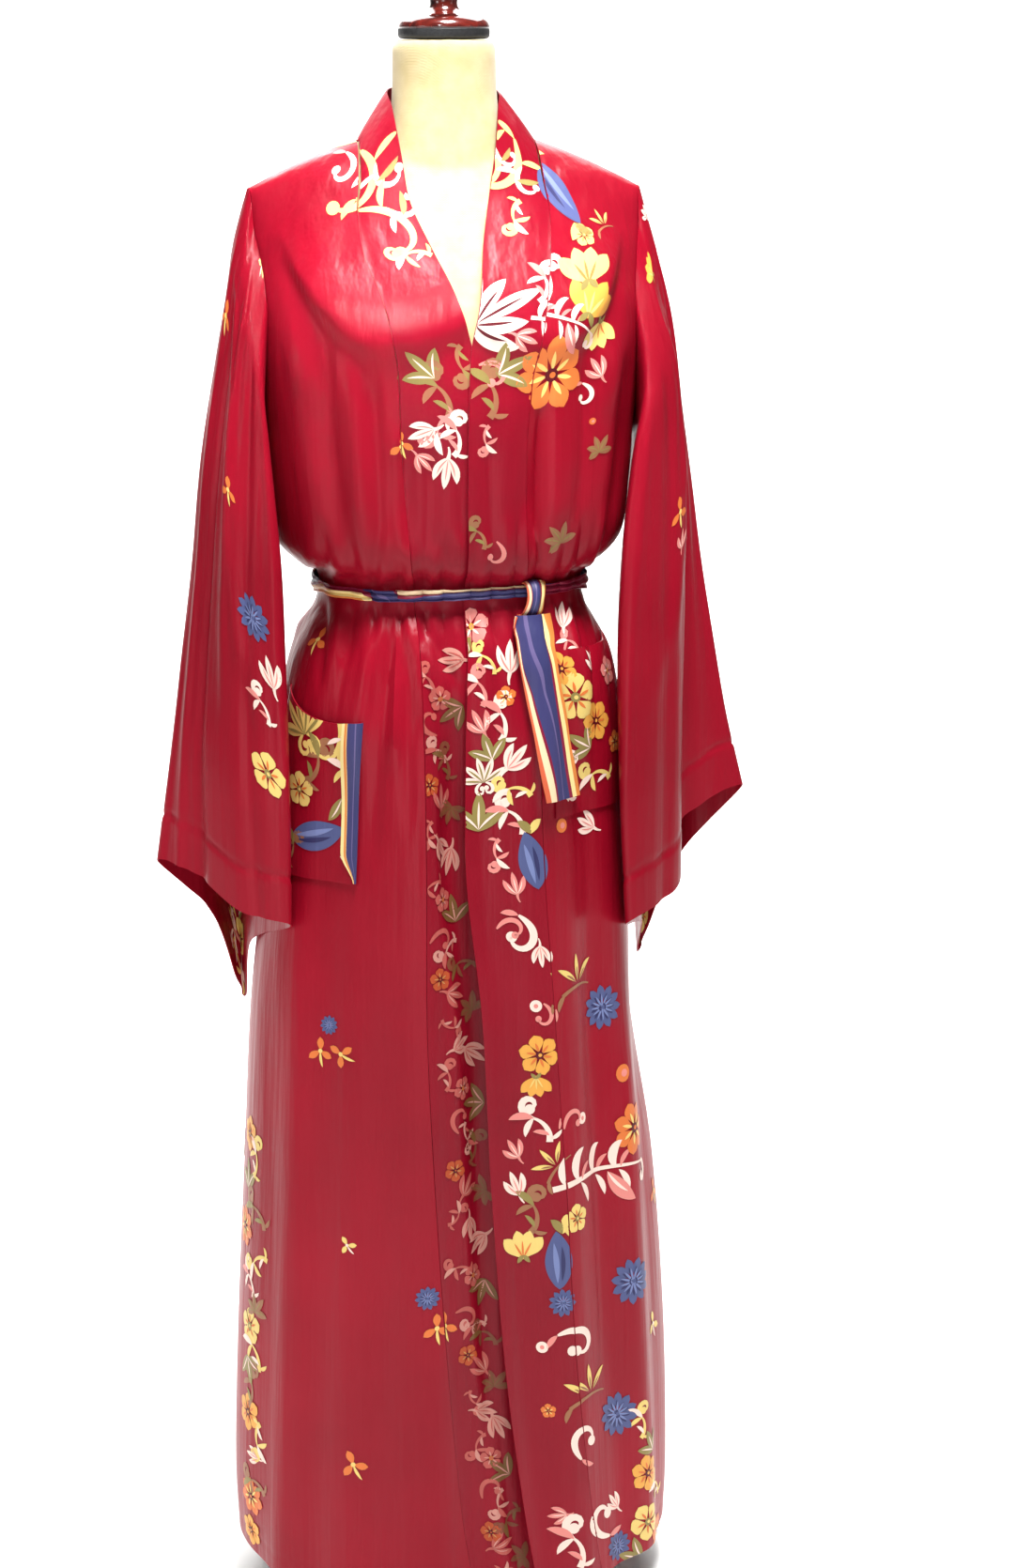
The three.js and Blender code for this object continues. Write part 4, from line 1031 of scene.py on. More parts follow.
def dot(middle, radius, dyed, layer=0):
    turn = np.linspace(pi, 0, 8)
    line = np.stack([middle[0] + radius * np.cos(turn), np.full(8, float(middle[1]))], axis=1)
    return line, radius * np.sin(turn), dyed, layer


def curl(start, heading, length, wide, dyed, bend, layer=0):
    # A stem that swells, rolls up and ends in a drop.
    line = curve(start, heading, length, bend, 1.7)
    t = np.linspace(0, 1, len(line))
    return [(line, wide / 2 * (0.3 + 0.7 * np.sin(pi * t**0.8)), dyed, layer),
            dot(line[-1], wide * 0.72, dyed, layer)]


def flower(radius, petals, dyed, shade, heart):
    strokes = []
    for k in range(petals):
        heading = 90 + 360 / petals * k
        start = (0.14 * radius * cos(radians(heading)), 0.14 * radius * sin(radians(heading)))
        strokes.append(leaf(start, heading, 0.9 * radius, 4.4 * radius / petals, dyed, 6, k % 2, 1.5))
        strokes.append(leaf(start, heading + 4, 0.52 * radius, 0.13 * radius, shade, 8, 2))
    return strokes + [dot((0, 0), 0.2 * radius, heart, 3), dot((0.03 * radius, 0), 0.09 * radius, dyed, 4)]


def aster(radius):
    strokes = flower(radius, 11, "blue", "navy", "navy")
    return strokes + [leaf((0, 0), 30 * k, 0.62 * radius, 0.1 * radius, "haze", 0, 3) for k in range(12)]


def bud(length, wide):
    half = length / 2
    return [leaf((-half, 0), 0, length, wide, "blue", 12, 0, 0.9),
            leaf((-half + 6, 2), 4, length * 0.7, wide * 0.2, "haze", 8, 1),
            leaf((-half + 8, -2), -6, length * 0.6, wide * 0.16, "navy", 18, 1),
            leaf((half - 3, 0), 20, length * 0.32, wide * 0.3, "olive", 40, 2),
            leaf((half - 3, 0), -20, length * 0.3, wide * 0.3, "yellow", -40, 2)]


def palm(size, dyed, vein, lobes=5, spread=130):
    # A leaf of several pointed lobes on one foot.
    strokes = []
    for k in range(lobes):
        off = k / (lobes - 1) - 0.5
        heading, length = 90 + off * spread, size * (1.15 - 0.6 * abs(off)) * (1 if k % 2 == 0 else 0.84)
        strokes.append(leaf((0, -0.45 * size), heading, length, 0.25 * size, dyed, -80 * off, k % 2, 1.15))
        strokes.append(leaf((0, -0.4 * size), heading, 0.7 * length, 0.045 * size, vein, -70 * off, 2))
    return strokes + [stem((0, -0.42 * size), 255, 0.35 * size, 0.12 * size, dyed, 40)]


def swirl(size, dyed, other):
    # A stem that turns one way, then rolls up the other, with leaves where it turns.
    first = stem((-0.5 * size, -0.5 * size), 20, size, 0.22 * size, dyed, 80)
    end = first[0][-1]
    return ([first] + curl(end, 100, 1.5 * size, 0.23 * size, dyed, -340)
            + [leaf(end, 95, 0.85 * size, 0.25 * size, other, 50, 1),
               leaf(end, 160, 0.7 * size, 0.2 * size, dyed, 50, 0),
               leaf(first[0][2], 80, 0.55 * size, 0.16 * size, other, 50, 1),
               leaf(first[0][1], -60, 0.5 * size, 0.15 * size, dyed, 60, 0)])


def plume(length, dyed, other, blades=3):
    # A stem with curved blades standing on it, a leaf below and a curl at its end.
    strokes = [stem((-length / 2, 0), 8, length, 0.055 * length, dyed, -18)]
    for k in range(blades):
        x = -length / 2 + length * (0.14 + 0.25 * k)
        strokes.append(leaf((x, 1), 128, length * (0.36 - 0.03 * k), 0.095 * length, dyed, -110, 1))
        strokes.append(leaf((x + 4, 1), 80, length * 0.2, 0.05 * length, other, -60, 0))
        strokes.append(leaf((x + 2, -1), -40, length * 0.24, 0.06 * length, dyed, -50, 0))
    strokes.append(leaf((length * 0.05, -1), -64, length * 0.42, 0.15 * length, other, 30, 1))
    strokes.append(leaf((length * 0.05, -1), -64, length * 0.3, 0.03 * length, dyed, 30, 2))
    return strokes + curl((length * 0.48, -1), -20, length * 0.36, 0.07 * length, dyed, -240, 1)


def sprig(size, dyed, tips):
    strokes = [stem((-0.6 * size, -0.3 * size), 30, 1.2 * size, 0.11 * size, dyed, -50)]
    for k, heading in enumerate((135, 92, 50)):
        root, bend = (-0.1 * size + 3 * k, 0), 20 - 20 * k
        strokes.append(leaf(root, heading, 0.72 * size, 0.16 * size, tips, bend, 1))
        strokes.append(leaf(root, heading, 0.4 * size, 0.06 * size, dyed, bend, 2))
    return strokes + [leaf((-0.5 * size, -0.25 * size), 215, 0.5 * size, 0.14 * size, dyed, 50, 1)]


def bell(size, dyed, shade):
    # A half-open flower seen from the side.
    strokes = [leaf((0, -0.5 * size), heading, size, 0.44 * size, dyed, 0, k % 2, 1.5)
               for k, heading in enumerate((48, 74, 100, 130))]
    strokes += [leaf((0, -0.45 * size), heading, 0.6 * size, 0.07 * size, shade, 0, 2)
                for heading in (60, 90, 118)]
    return strokes + [leaf((0, -0.35 * size), heading, 0.34 * size, 0.16 * size, "olive", 0, 3)
                      for heading in (230, 310)]


def leaves(size, dyed, vein, count=3):
    strokes = []
    for k in range(count):
        heading = 90 + (k - (count - 1) / 2) * 38
        strokes.append(leaf((0, -0.4 * size), heading, size * (1 - 0.12 * abs(k - 1)), 0.34 * size, dyed,
                            (k - 1) * 24, k % 2))
        strokes.append(leaf((0, -0.36 * size), heading, 0.72 * size, 0.06 * size, vein, (k - 1) * 22, 2))
    return strokes


def trefoil(size, dyed, other):
    strokes = [leaf((0, 0), heading, size, 0.52 * size, dyed, 10, 0, 1.3) for heading in (90, 210, 330)]
    return strokes + [leaf((0, 0), 270, 1.2 * size, 0.2 * size, other, 24, 1),
                      dot((0, 0), 0.16 * size, other, 2)]


def fan(size, dyed, other):
    strokes = []
    for k in range(5):
        heading = 20 + 35 * k
        strokes.append(leaf((0, 0), heading, size, 0.26 * size, dyed, 12, k % 2, 1.2))
        strokes.append(leaf((0, 0), heading, 0.8 * size, 0.07 * size, other, 12, 2))
    strokes += curl((-2, 0), 200, 0.9 * size, 0.13 * size, dyed, 300, 1)
    return strokes + curl((2, 0), -20, 0.9 * size, 0.13 * size, dyed, -300, 1)


motifs = {
    "whitePalm": palm(48, "cream", "wine", 5, 150),
    "whiteLeaf": palm(26, "cream", "rose", 3, 90),
    "roseLeaf": palm(24, "rose", "cream", 3, 100),
    "orangeFlower": flower(26, 7, "orange", "yellow", "wine"),
    "yellowFlower": flower(21, 5, "yellow", "orange", "olive"),
    "amberFlower": flower(20, 6, "amber", "orange", "wine"),
    "smallOrange": flower(11, 5, "orange", "yellow", "wine"),
    "salmonFlower": flower(15, 5, "rose", "cream", "amber"),
    "yellowBell": bell(34, "yellow", "orange"),
    "amberBell": bell(32, "amber", "yellow"),
    "aster": aster(20),
    "smallAster": aster(12),
    "blueBud": bud(58, 27),
    "oliveLeaves": leaves(32, "olive", "cream"),
    "brownLeaves": leaves(24, "brown", "olive", 5),
    "whiteScroll": swirl(26, "cream", "rose"),
    "roseScroll": swirl(22, "rose", "cream"),
    "goldScroll": swirl(27, "yellow", "cream"),
    "oliveScroll": swirl(25, "brown", "olive"),
    "whitePlume": plume(92, "cream", "rose"),
    "sprig": sprig(34, "brown", "yellow"),
    "whiteCurl": curl((-8, 10), -40, 62, 7.5, "cream", -250) + [leaf((-8, 10), 150, 18, 6, "rose", 40)],
    "roseCurl": curl((-8, 8), -40, 46, 5.5, "rose", -230),
    "goldCurl": (curl((-16, 26), -40, 76, 7, "yellow", -165) + curl((2, 10), -84, 40, 4.5, "cream", 210)
                 + [leaf((-16, 26), 165, 20, 6, "yellow", 50), leaf((0, 12), 66, 26, 6, "yellow", -40),
                    leaf((6, -4), 30, 22, 5.5, "olive", 40, 1), leaf((4, 2), 200, 20, 5, "cream", 40, 1)]),
    "dot": [dot((0, 0), 5.5, "cream"), dot((0, 0), 2, "rose", 1)],
    "orangeDot": [dot((0, 0), 7, "orange"), dot((1, 0), 3, "rose", 1)],
    "trefoil": trefoil(14, "orange", "yellow"),
    "goldTrefoil": trefoil(14, "yellow", "cream"),
    "goldFan": fan(32, "yellow", "olive"),
    "whiteFan": fan(28, "cream", "olive"),
}

# Motif, x, z, turn in degrees and scale, on the wearer's left side: front panel and its band.
leftSidePrint = (
    ("goldCurl", 36, 1450, 16, 0.9), ("goldCurl", 56, 1436, -30, 1.15), ("goldScroll", 52, 1400, 200, 0.9),
    ("blueBud", 96, 1418, -58, 1.1),
    ("yellowFlower", 118, 1378, 20, 0.55), ("yellowBell", 116, 1354, 15, 1.15),
    ("amberBell", 122, 1324, -10, 1.2),
    ("yellowBell", 126, 1290, 190, 0.9), ("sprig", 142, 1388, 30, 0.6), ("whitePalm", 32, 1316, -58, 1.3),
    ("whiteScroll", 82, 1336, 20, 1.1), ("whitePlume", 92, 1303, -10, 0.75),
    ("roseLeaf", 52, 1290, -110, 1.0),
    ("orangeFlower", 78, 1256, 0, 1.25), ("oliveLeaves", 40, 1264, -60, 1.15),
    ("oliveScroll", 28, 1240, 30, 1.3),
    ("roseCurl", 24, 1272, 60, 1.0), ("roseLeaf", 124, 1262, 40, 1.0), ("whiteCurl", 118, 1242, 20, 0.6),
    ("brownLeaves", 128, 1190, 10, 0.8), ("orangeDot", 122, 1214, 0, 0.5),
    ("roseScroll", 16, 1200, 200, 0.8),
    ("oliveScroll", 14, 1112, 50, 0.8), ("roseCurl", 36, 1098, 0, 0.8), ("brownLeaves", 86, 1106, 20, 0.95),
    ("whiteLeaf", 98, 1026, -10, 1.1), ("roseScroll", 106, 1004, 60, 0.8),
    ("salmonFlower", 8, 1020, 0, 1.2),
    ("oliveLeaves", -6, 1006, 60, 0.9), ("goldScroll", 20, 996, 60, 0.8), ("whiteLeaf", 42, 992, -8, 1.3),
    ("roseScroll", 14, 968, 40, 1.1), ("smallOrange", 36, 958, 0, 0.9), ("whiteScroll", 38, 934, 30, 1.1),
    ("roseLeaf", 10, 934, 30, 1.1), ("oliveLeaves", 18, 906, 20, 0.9), ("whiteLeaf", 44, 900, -40, 1.2),
    ("whiteFan", 14, 878, 10, 0.9), ("goldScroll", 44, 872, 100, 0.9), ("oliveLeaves", 10, 846, 0, 1.2),
    ("whiteScroll", 46, 846, 60, 1.1), ("orangeDot", 88, 830, 0, 1.0), ("whiteLeaf", 118, 826, 60, 1.1),
    ("blueBud", 62, 800, 96, 1.0), ("roseScroll", 24, 808, 200, 0.9), ("roseLeaf", 42, 776, 10, 1.0),
    ("whiteCurl", 54, 738, 0, 1.0), ("whiteLeaf", 70, 706, 180, 0.9), ("roseCurl", 34, 742, 90, 0.9),
    ("dot", 65, 656, 0, 1.1), ("roseCurl", 78, 652, 0, 0.8), ("sprig", 106, 672, 0, 1.15),
    ("aster", 136, 636, 0, 1.1),
    ("amberFlower", 64, 606, 10, 1.0), ("amberBell", 62, 578, 180, 0.7), ("whiteScroll", 68, 540, 60, 1.2),
    ("dot", 110, 534, 0, 1.1), ("roseCurl", 94, 540, 120, 0.9), ("orangeDot", 160, 566, 0, 1.3),
    ("orangeFlower", 170, 508, 12, 1.0), ("whitePlume", 134, 470, 0, 1.2), ("sprig", 82, 496, 40, 0.9),
    ("roseLeaf", 40, 514, 30, 1.0), ("whiteLeaf", 42, 478, 20, 1.1), ("oliveScroll", 66, 446, 20, 1.2),
    ("yellowBell", 48, 414, 0, 0.9), ("yellowFlower", 102, 434, 0, 0.7), ("blueBud", 86, 396, 84, 1.05),
    ("smallAster", 88, 352, 0, 1.2), ("aster", 168, 352, 10, 1.2), ("whiteCurl", 96, 320, 60, 1.0),
    ("dot", 68, 306, 0, 1.1),
    ("sprig", 118, 250, 0, 1.15), ("aster", 150, 212, 20, 1.15), ("whiteCurl", 102, 194, 160, 1.0),
    ("smallOrange", 74, 240, 0, 0.7), ("amberFlower", 186, 138, 0, 1.0), ("oliveLeaves", 190, 168, 20, 0.9),
    ("whiteScroll", 110, 88, 30, 1.4), ("yellowFlower", 188, 84, 20, 1.0), ("roseLeaf", 84, 126, 90, 0.9),
    ("aster", 152, 66, 0, 0.8), ("trefoil", 200, 420, 0, 1.0), ("goldTrefoil", 196, 286, 0, 1.0),
    ("goldScroll", 200, 112, 60, 1.0), ("orangeFlower", 202, 50, 0, 0.9), ("whiteCurl", 132, 92, 200, 1.1),
    ("oliveLeaves", 172, 44, 60, 1.0), ("goldScroll", 184, 196, 20, 0.9), ("whiteLeaf", 146, 120, 30, 0.9),
)
# The same for the right side, most of it on the strip under the lap.
rightSidePrint = (
    ("whiteCurl", -92, 1448, -10, 0.8), ("goldCurl", -76, 1432, -20, 1.3),
    ("goldCurl", -58, 1396, 30, 1.15),
    ("goldScroll", -44, 1366, 110, 0.9), ("oliveLeaves", -38, 1268, 40, 1.1),
    ("oliveScroll", -20, 1244, 40, 1.3),
    ("oliveScroll", -8, 1270, 200, 1.0), ("roseScroll", -26, 1214, 160, 1.2),
    ("whiteLeaf", -42, 1206, 110, 1.1),
    ("whiteScroll", -4, 1200, 20, 1.0), ("whiteLeaf", -18, 1172, 170, 1.2),
    ("roseLeaf", -40, 1180, 220, 0.9),
    ("trefoil", -60, 1196, 0, 0.9), ("trefoil", -142, 612, 0, 1.0), ("trefoil", -122, 610, 60, 1.0),
    ("smallAster", -132, 636, 0, 0.8), ("smallAster", -46, 368, 0, 1.0), ("trefoil", -34, 338, 0, 1.1),
    ("trefoil", -116, 190, 20, 1.1), ("trefoil", -132, 1000, 0, 1.0), ("goldTrefoil", -120, 420, 30, 0.7),
    ("amberFlower", -204, 500, 0, 0.9), ("oliveLeaves", -206, 452, 10, 1.0),
    ("orangeFlower", -210, 400, 0, 0.8),
    ("whiteScroll", -208, 350, 60, 1.0), ("yellowFlower", -210, 300, 0, 0.9),
    ("oliveLeaves", -212, 258, 200, 1.0),
    ("amberFlower", -214, 210, 0, 1.0), ("whiteLeaf", -212, 164, 90, 0.9),
    ("orangeFlower", -214, 116, 0, 0.8),
    ("goldScroll", -198, 476, 20, 1.0), ("oliveScroll", -200, 426, 80, 1.2),
    ("goldScroll", -202, 376, 140, 1.0),
    ("brownLeaves", -206, 326, 0, 1.0), ("goldScroll", -206, 280, 60, 1.1),
    ("oliveScroll", -208, 234, 20, 1.2),
    ("goldScroll", -208, 188, 200, 1.0), ("oliveScroll", -208, 140, 100, 1.1),
    ("amberFlower", -214, 78, 0, 0.9),
)
underBandPrint = (
    ("whiteLeaf", 90, 1.0), ("roseScroll", 20, 0.8), ("salmonFlower", 0, 0.7), ("oliveLeaves", 10, 0.8),
    ("roseCurl", 60, 0.8),
    ("whiteScroll", 70, 0.7), ("oliveScroll", 0, 0.8), ("smallOrange", 0, 0.9), ("roseLeaf", 250, 1.0),
    ("brownLeaves", 0, 0.8),
    ("roseScroll", 190, 0.7), ("whiteLeaf", 180, 0.9),
)
pocketPrint = {
    "robe_left_pocket": (("amberFlower", 90, 980, 0, 0.8), ("yellowFlower", 104, 952, 0, 1.1),
                         ("whiteLeaf", 84, 940, 10, 0.9),
                         ("amberFlower", 128, 924, 20, 1.0), ("oliveLeaves", 112, 905, 60, 1.0),
                         ("whiteScroll", 100, 872, 20, 1.1),
                         ("goldScroll", 130, 876, 100, 1.0), ("salmonFlower", 142, 968, 0, 1.0),
                         ("whiteLeaf", 122, 984, 30, 0.9),
                         ("smallOrange", 150, 900, 0, 1.0)),
    "robe_right_pocket": (("goldFan", -148, 916, 30, 1.25), ("goldCurl", -118, 918, -20, 1.0),
                          ("oliveScroll", -136, 888, 0, 1.3),
                          ("goldScroll", -108, 884, 40, 1.1), ("yellowFlower", -154, 862, 0, 0.8),
                          ("oliveLeaves", -114, 850, 200, 1.0),
                          ("blueBud", -138, 820, 10, 1.1), ("whiteLeaf", -110, 808, 60, 1.0),
                          ("oliveScroll", -160, 800, 0, 0.9)),
}
sleevePrint = {
    "robe_right_sleeve": (("trefoil", -208, 1306, 0, 0.9), ("goldTrefoil", -170, 1360, 0, 0.8),
                          ("aster", -196, 1034, 0, 1.0),
                          ("whiteLeaf", -180, 980, 20, 1.2), ("whiteScroll", -186, 950, 60, 0.9),
                          ("yellowFlower", -186, 886, 0, 1.0),
                          ("trefoil", -214, 1150, 0, 0.8)),
    "robe_left_sleeve": (("trefoil", 213, 1118, 0, 1.0), ("roseLeaf", 216, 1092, 0, 0.8),
                         ("whiteLeaf", 188, 1396, 0, 0.7),
                         ("amberBell", 190, 1344, 0, 0.7)),
}
# On the inner side of each sleeve's back, where it hangs below the front.
sleeveInside = {
    "robe_right_sleeve": (("amberFlower", -200, 728, 0, 0.9), ("goldScroll", -214, 714, 40, 0.9),
                          ("oliveLeaves", -202, 700, 20, 0.9),
                          ("whiteScroll", -212, 682, 60, 0.9), ("yellowFlower", -202, 666, 0, 0.8),
                          ("goldScroll", -206, 644, 160, 0.8),
                          ("amberFlower", -222, 740, 0, 0.8), ("whiteLeaf", -203, 628, 180, 0.8)),
    "robe_left_sleeve": (("goldScroll", 210, 712, 20, 0.9), ("whiteLeaf", 206, 690, 160, 0.9),
                         ("yellowFlower", 212, 676, 0, 0.7),
                         ("oliveLeaves", 208, 660, 180, 0.8), ("whiteScroll", 214, 730, 90, 0.8)),
}
backPrint = (
    ("whitePlume", 20, 640, 60, 1.3), ("orangeFlower", -20, 560, 0, 1.1), ("aster", 40, 500, 0, 1.2),
    ("sprig", 70, 590, 30, 1.2),
    ("whitePalm", -44, 480, 200, 1.0), ("amberFlower", 80, 420, 0, 1.0), ("blueBud", 10, 400, 80, 1.0),
    ("goldScroll", -10, 700, 80, 1.1), ("oliveLeaves", 40, 560, 40, 1.1), ("whiteScroll", -20, 430, 0, 1.1),
    ("trefoil", -110, 1280, 0, 1.1), ("trefoil", 90, 1210, 0, 1.1), ("goldTrefoil", -20, 1370, 0, 1.1),
    ("trefoil", -70, 880, 20, 1.1),
    ("goldTrefoil", 90, 860, 0, 1.1), ("trefoil", -130, 640, 0, 1.1), ("trefoil", 150, 300, 0, 1.1),
    ("goldTrefoil", -150, 220, 0, 1.1),
    ("trefoil", -20, 180, 0, 1.1), ("trefoil", 90, 110, 0, 1.1), ("orangeFlower", 204, 380, 0, 0.8),
    ("amberFlower", -206, 470, 0, 0.8),
)
printLift = {"first": 0.45, "layer": 0.14, "cell": 4.0}


def turnedStroke(stroke, degrees, size):
    line, half, dyed, layer = stroke
    turn = radians(degrees)
    spin = np.array([[cos(turn), sin(turn)], [-sin(turn), cos(turn)]])
    return line @ spin * size, half * size, dyed, layer


def strip(stroke):
    # Rows of points across a stroke, left edge first.
    line, half = stroke[:2]
    ahead = np.gradient(line, axis=0)
    ahead /= np.maximum(np.linalg.norm(ahead, axis=1, keepdims=True), 1e-9)
    left = np.stack([-ahead[:, 1], ahead[:, 0]], axis=1)
    cells = max(1, ceil(2 * half.max() / printLift["cell"]))
    share = np.linspace(1, -1, cells + 1)[None, :, None]
    return line[:, None, :] + left[:, None, :] * half[:, None, None] * share


def onPanel(panel, rows, u, v, lift):
    # Points a distance u across and v down a panel, lifted off its outer side, and whether each is on it.
    low, high = rows
    row = np.clip(np.interp(v, panel["down"][low:high], np.arange(low, high)), low, high - 1.001)
    i = row.astype(int)
    part = (row - i)[:, None]
    across = panel["across"][i] * (1 - part) + panel["across"][i + 1] * part
    onIt = (u > 0) & (u < across[:, -1]) & (v > panel["down"][low]) & (v < panel["down"][high - 1])
    u = np.clip(u, 0.3, across[:, -1] - 0.3)
    j = np.clip((across <= u[:, None]).sum(axis=1) - 1, 0, across.shape[1] - 2)
    pick = np.arange(len(u))
    t = ((u - across[pick, j]) / (across[pick, j + 1] - across[pick, j]))[:, None]

    def spread(values):
        near = values[i, j] * (1 - t) + values[i, j + 1] * t
        far = values[i + 1, j] * (1 - t) + values[i + 1, j + 1] * t
        return near * (1 - part) + far * part

    return spread(panel["grid"]) + unit(spread(panel["normals"])) * lift, onIt


def motifSpot(panel, rows, x, z, way):
    # Where a place on the front or back lies on the panel, past its edge too.
    low, high = rows
    grid, normals = panel["grid"][low:high], panel["normals"][low:high]
    far = np.hypot(grid[..., 0] - x, grid[..., 2] - z) + 1000 * (normals[..., 1] * panel["faces"] < -0.1)
    i, j = np.unravel_index(np.argmin(far), far.shape)
    off = far[i, j] > 6
    offX = (x - grid[i, j, 0]) * (-panel["faces"]) if off else 0
    offZ = z - grid[i, j, 2] if off else 0
    return panel["across"][low + i, j] + way * offX, panel["down"][low + i] - way * offZ


def printOn(name, places, rows=None, way=1, faces=-1, inside=False, dull=False):
    # way -1 is for cloth whose rows run upwards; faces is the sign of y the cloth's outer side looks to.
    panel = panels[name]
    panel["faces"] = faces
    rows = rows or (0, len(panel["grid"]))
    points, quads, dyeOf = [], [], []
    count = 0
    for k, (motif, x, z, turn, size) in enumerate(places):
        u0, v0 = motifSpot(panel, rows, x, z, way)
        for stroke in motifs[motif]:
            shape = strip(turnedStroke(stroke, turn, size))
            lift = panel["wall"] / 2 + printLift["first"] + printLift["layer"] * stroke[3]
            lift += 0.004 * (k % 20)        # no two neighbours at one height
            flat = shape.reshape(-1, 2)
            lift = -lift if inside else lift
            spots, onIt = onPanel(panel, rows, u0 + way * flat[:, 0], v0 - way * flat[:, 1], lift)
            i, j = [part.ravel() for part in np.indices((shape.shape[0] - 1, shape.shape[1] - 1))]
            wide = shape.shape[1]
            corners = np.stack([i * wide + j, i * wide + j + 1, (i + 1) * wide + j + 1, (i + 1) * wide + j],
                               axis=1)
            area = np.linalg.norm(np.cross(spots[corners[:, 2]] - spots[corners[:, 0]],
                                           spots[corners[:, 3]] - spots[corners[:, 1]]), axis=1)
            keep = (onIt[corners].sum(axis=1) >= 2) & (area > 0.02)
            points.append(spots)
            quads.append(corners[keep] + count)
            # On the band under the lap the print takes the darkened dyes: painted shade.
            dyeOf += [stroke[2] + "Dull" * dull] * int(keep.sum())
            count += len(spots)
    return np.concatenate(points), np.concatenate(quads), dyeOf


def makePrint(name, parts):
    points, quads, dyeOf, count = [], [], [], 0
    for part in parts:
        points.append(part[0])
        quads.append(part[1] + count)
        dyeOf += part[2]
        count += len(part[0])
    points, quads = np.concatenate(points), np.concatenate(quads)
    used, index = np.unique(quads, return_inverse=True)
    quads = index.reshape(quads.shape)
    printName = name.replace("robe_", "print_")
    mesh = bpy.data.meshes.new(printName)
    mesh.from_pydata((points[used] * mm).tolist(), [], quads.tolist())
    weave = points[used][quads.ravel()][:, (0, 2)] * mm
    mesh.uv_layers.new(name="weave").data.foreach_set("uv", weave.ravel())
    names = sorted(set(dyeOf))
    for dyed in names:
        mesh.materials.append(dyes[dyed])
    mesh.polygons.foreach_set("material_index", [names.index(dyed) for dyed in dyeOf])
    finishMesh(mesh)
    addPiece(printName, mesh)


def underBandPlaces():
    places = []
    for k, z in enumerate(range(990, 50, -16)):
        motif, turn, size = underBandPrint[k % len(underBandPrint)]
        x = bodyColumn("leftEdge", placeAtHeight(z)) - (14, 36, 24)[k % 3]
        places.append((motif, float(x), z, turn + 37 * (k % 5), 1.12 * size))
    return tuple(places)


bandRows = len(panels["robe_neckband"]["grid"])
rightBand, leftBand = (0, bandRows // 2), (bandRows // 2, bandRows)
makePrint("robe_left_front", [printOn("robe_left_front", leftSidePrint)])
makePrint("robe_right_front", [printOn("robe_right_front", rightSidePrint)])
makePrint("robe_neckband", [printOn("robe_neckband", leftSidePrint, leftBand),
                            printOn("robe_neckband", rightSidePrint, rightBand, way=-1),
                            # The print under the lap is laid in the darkened dyes, as painted shade.
                            printOn("robe_neckband", underBandPlaces(), rightBand, way=-1, dull=True)])
for name, places in pocketPrint.items():
    makePrint(name, [printOn(name, places)])
for name, places in sleevePrint.items():
    makePrint(name, [printOn(name, places), printOn(name, sleeveInside[name], faces=1, inside=True)])
makePrint("robe_back", [printOn("robe_back", backPrint, faces=1)])
print("print made")


# Dress form and stand.

neckSections = (
    (1380, 60, 46, 2), (1440, 62, 48, 2), (1466, 57, 48, 2), (1490, 51, 48, 3),
    (1515, 49, 47, 4), (1546, 48.5, 47, 5), (1556, 47, 45.5, 5),
)
formSet = {"bottom": 18, "around": 96, "rows": 120, "tipInset": 7, "voxel": 4.0, "ridge": 0.02}


def ringStack(name, rings):
    rows, around = rings.shape[:2]
    corners = [(i * around + j, (i + 1) * around + j, (i + 1) * around + (j + 1) % around,
                i * around + (j + 1) % around)
               for i in range(rows - 1) for j in range(around)]
    corners += [tuple(range(around)), tuple(range(rows * around - 1, (rows - 1) * around - 1, -1))]
    mesh = bpy.data.meshes.new(name)
    mesh.from_pydata((rings.reshape(-1, 3) * mm).tolist(), [], corners)
    mesh.update()
    return mesh


def formRings():
    place, angle = np.meshgrid(np.linspace(formSet["ridge"], formSet["bottom"], formSet["rows"]),
                               np.linspace(0, 360, formSet["around"], endpoint=False), indexing="ij")
    under = bodyColumn("form", place)[..., None]
    rings = bodyPoint(angle, place) - surfaceNormal(bodyPoint, angle, place) * under
    tip = (np.abs(rings[..., 0]) / body["left"][0]) ** 6
    rings[..., 0] -= np.sign(rings[..., 0]) * formSet["tipInset"] * tip
    rings[-1, :, 2] = body["z"][formSet["bottom"]]
    return rings


def neckRings():
    rows = np.array(neckSections[::-1], float)
    place = np.linspace(0, len(rows) - 1, 60)
    z, wide, deep, y = (columnAt(rows[:, k], place)[:, None] for k in range(4))
    turn = np.linspace(0, 2 * pi, 96, endpoint=False)[None, :]
    return np.stack(np.broadcast_arrays(wide * np.sin(turn), y - deep * np.cos(turn), z), axis=-1)


def makeForm():
    trunk = bpy.data.objects.new("trunk", ringStack("trunk", formRings()))
    neck = bpy.data.objects.new("neck", ringStack("neck", neckRings()))
    both = bmesh.new()
    both.from_mesh(trunk.data)
    both.from_mesh(neck.data)
    mesh = bpy.data.meshes.new("dress_form")
    both.to_mesh(mesh)
    both.free()
    bpy.data.objects.remove(trunk)
    bpy.data.objects.remove(neck)
    rough = bpy.data.objects.new("rough_form", mesh)
    scene.collection.objects.link(rough)
    remesh = rough.modifiers.new("remesh", "REMESH")
    remesh.mode = "VOXEL"
    remesh.voxel_size = formSet["voxel"] * mm
    soften = rough.modifiers.new("soften", "SMOOTH")
    soften.iterations = 6
    soften.factor = 0.5
    bpy.context.view_layer.update()
    made = bpy.data.meshes.new_from_object(rough.evaluated_get(bpy.context.evaluated_depsgraph_get()))
    made.name = "dress_form"
    bpy.data.objects.remove(rough)
    made.materials.clear()
    made.materials.append(linenCover)
    finishMesh(made, 60)
    return addPiece("dress_form", made)


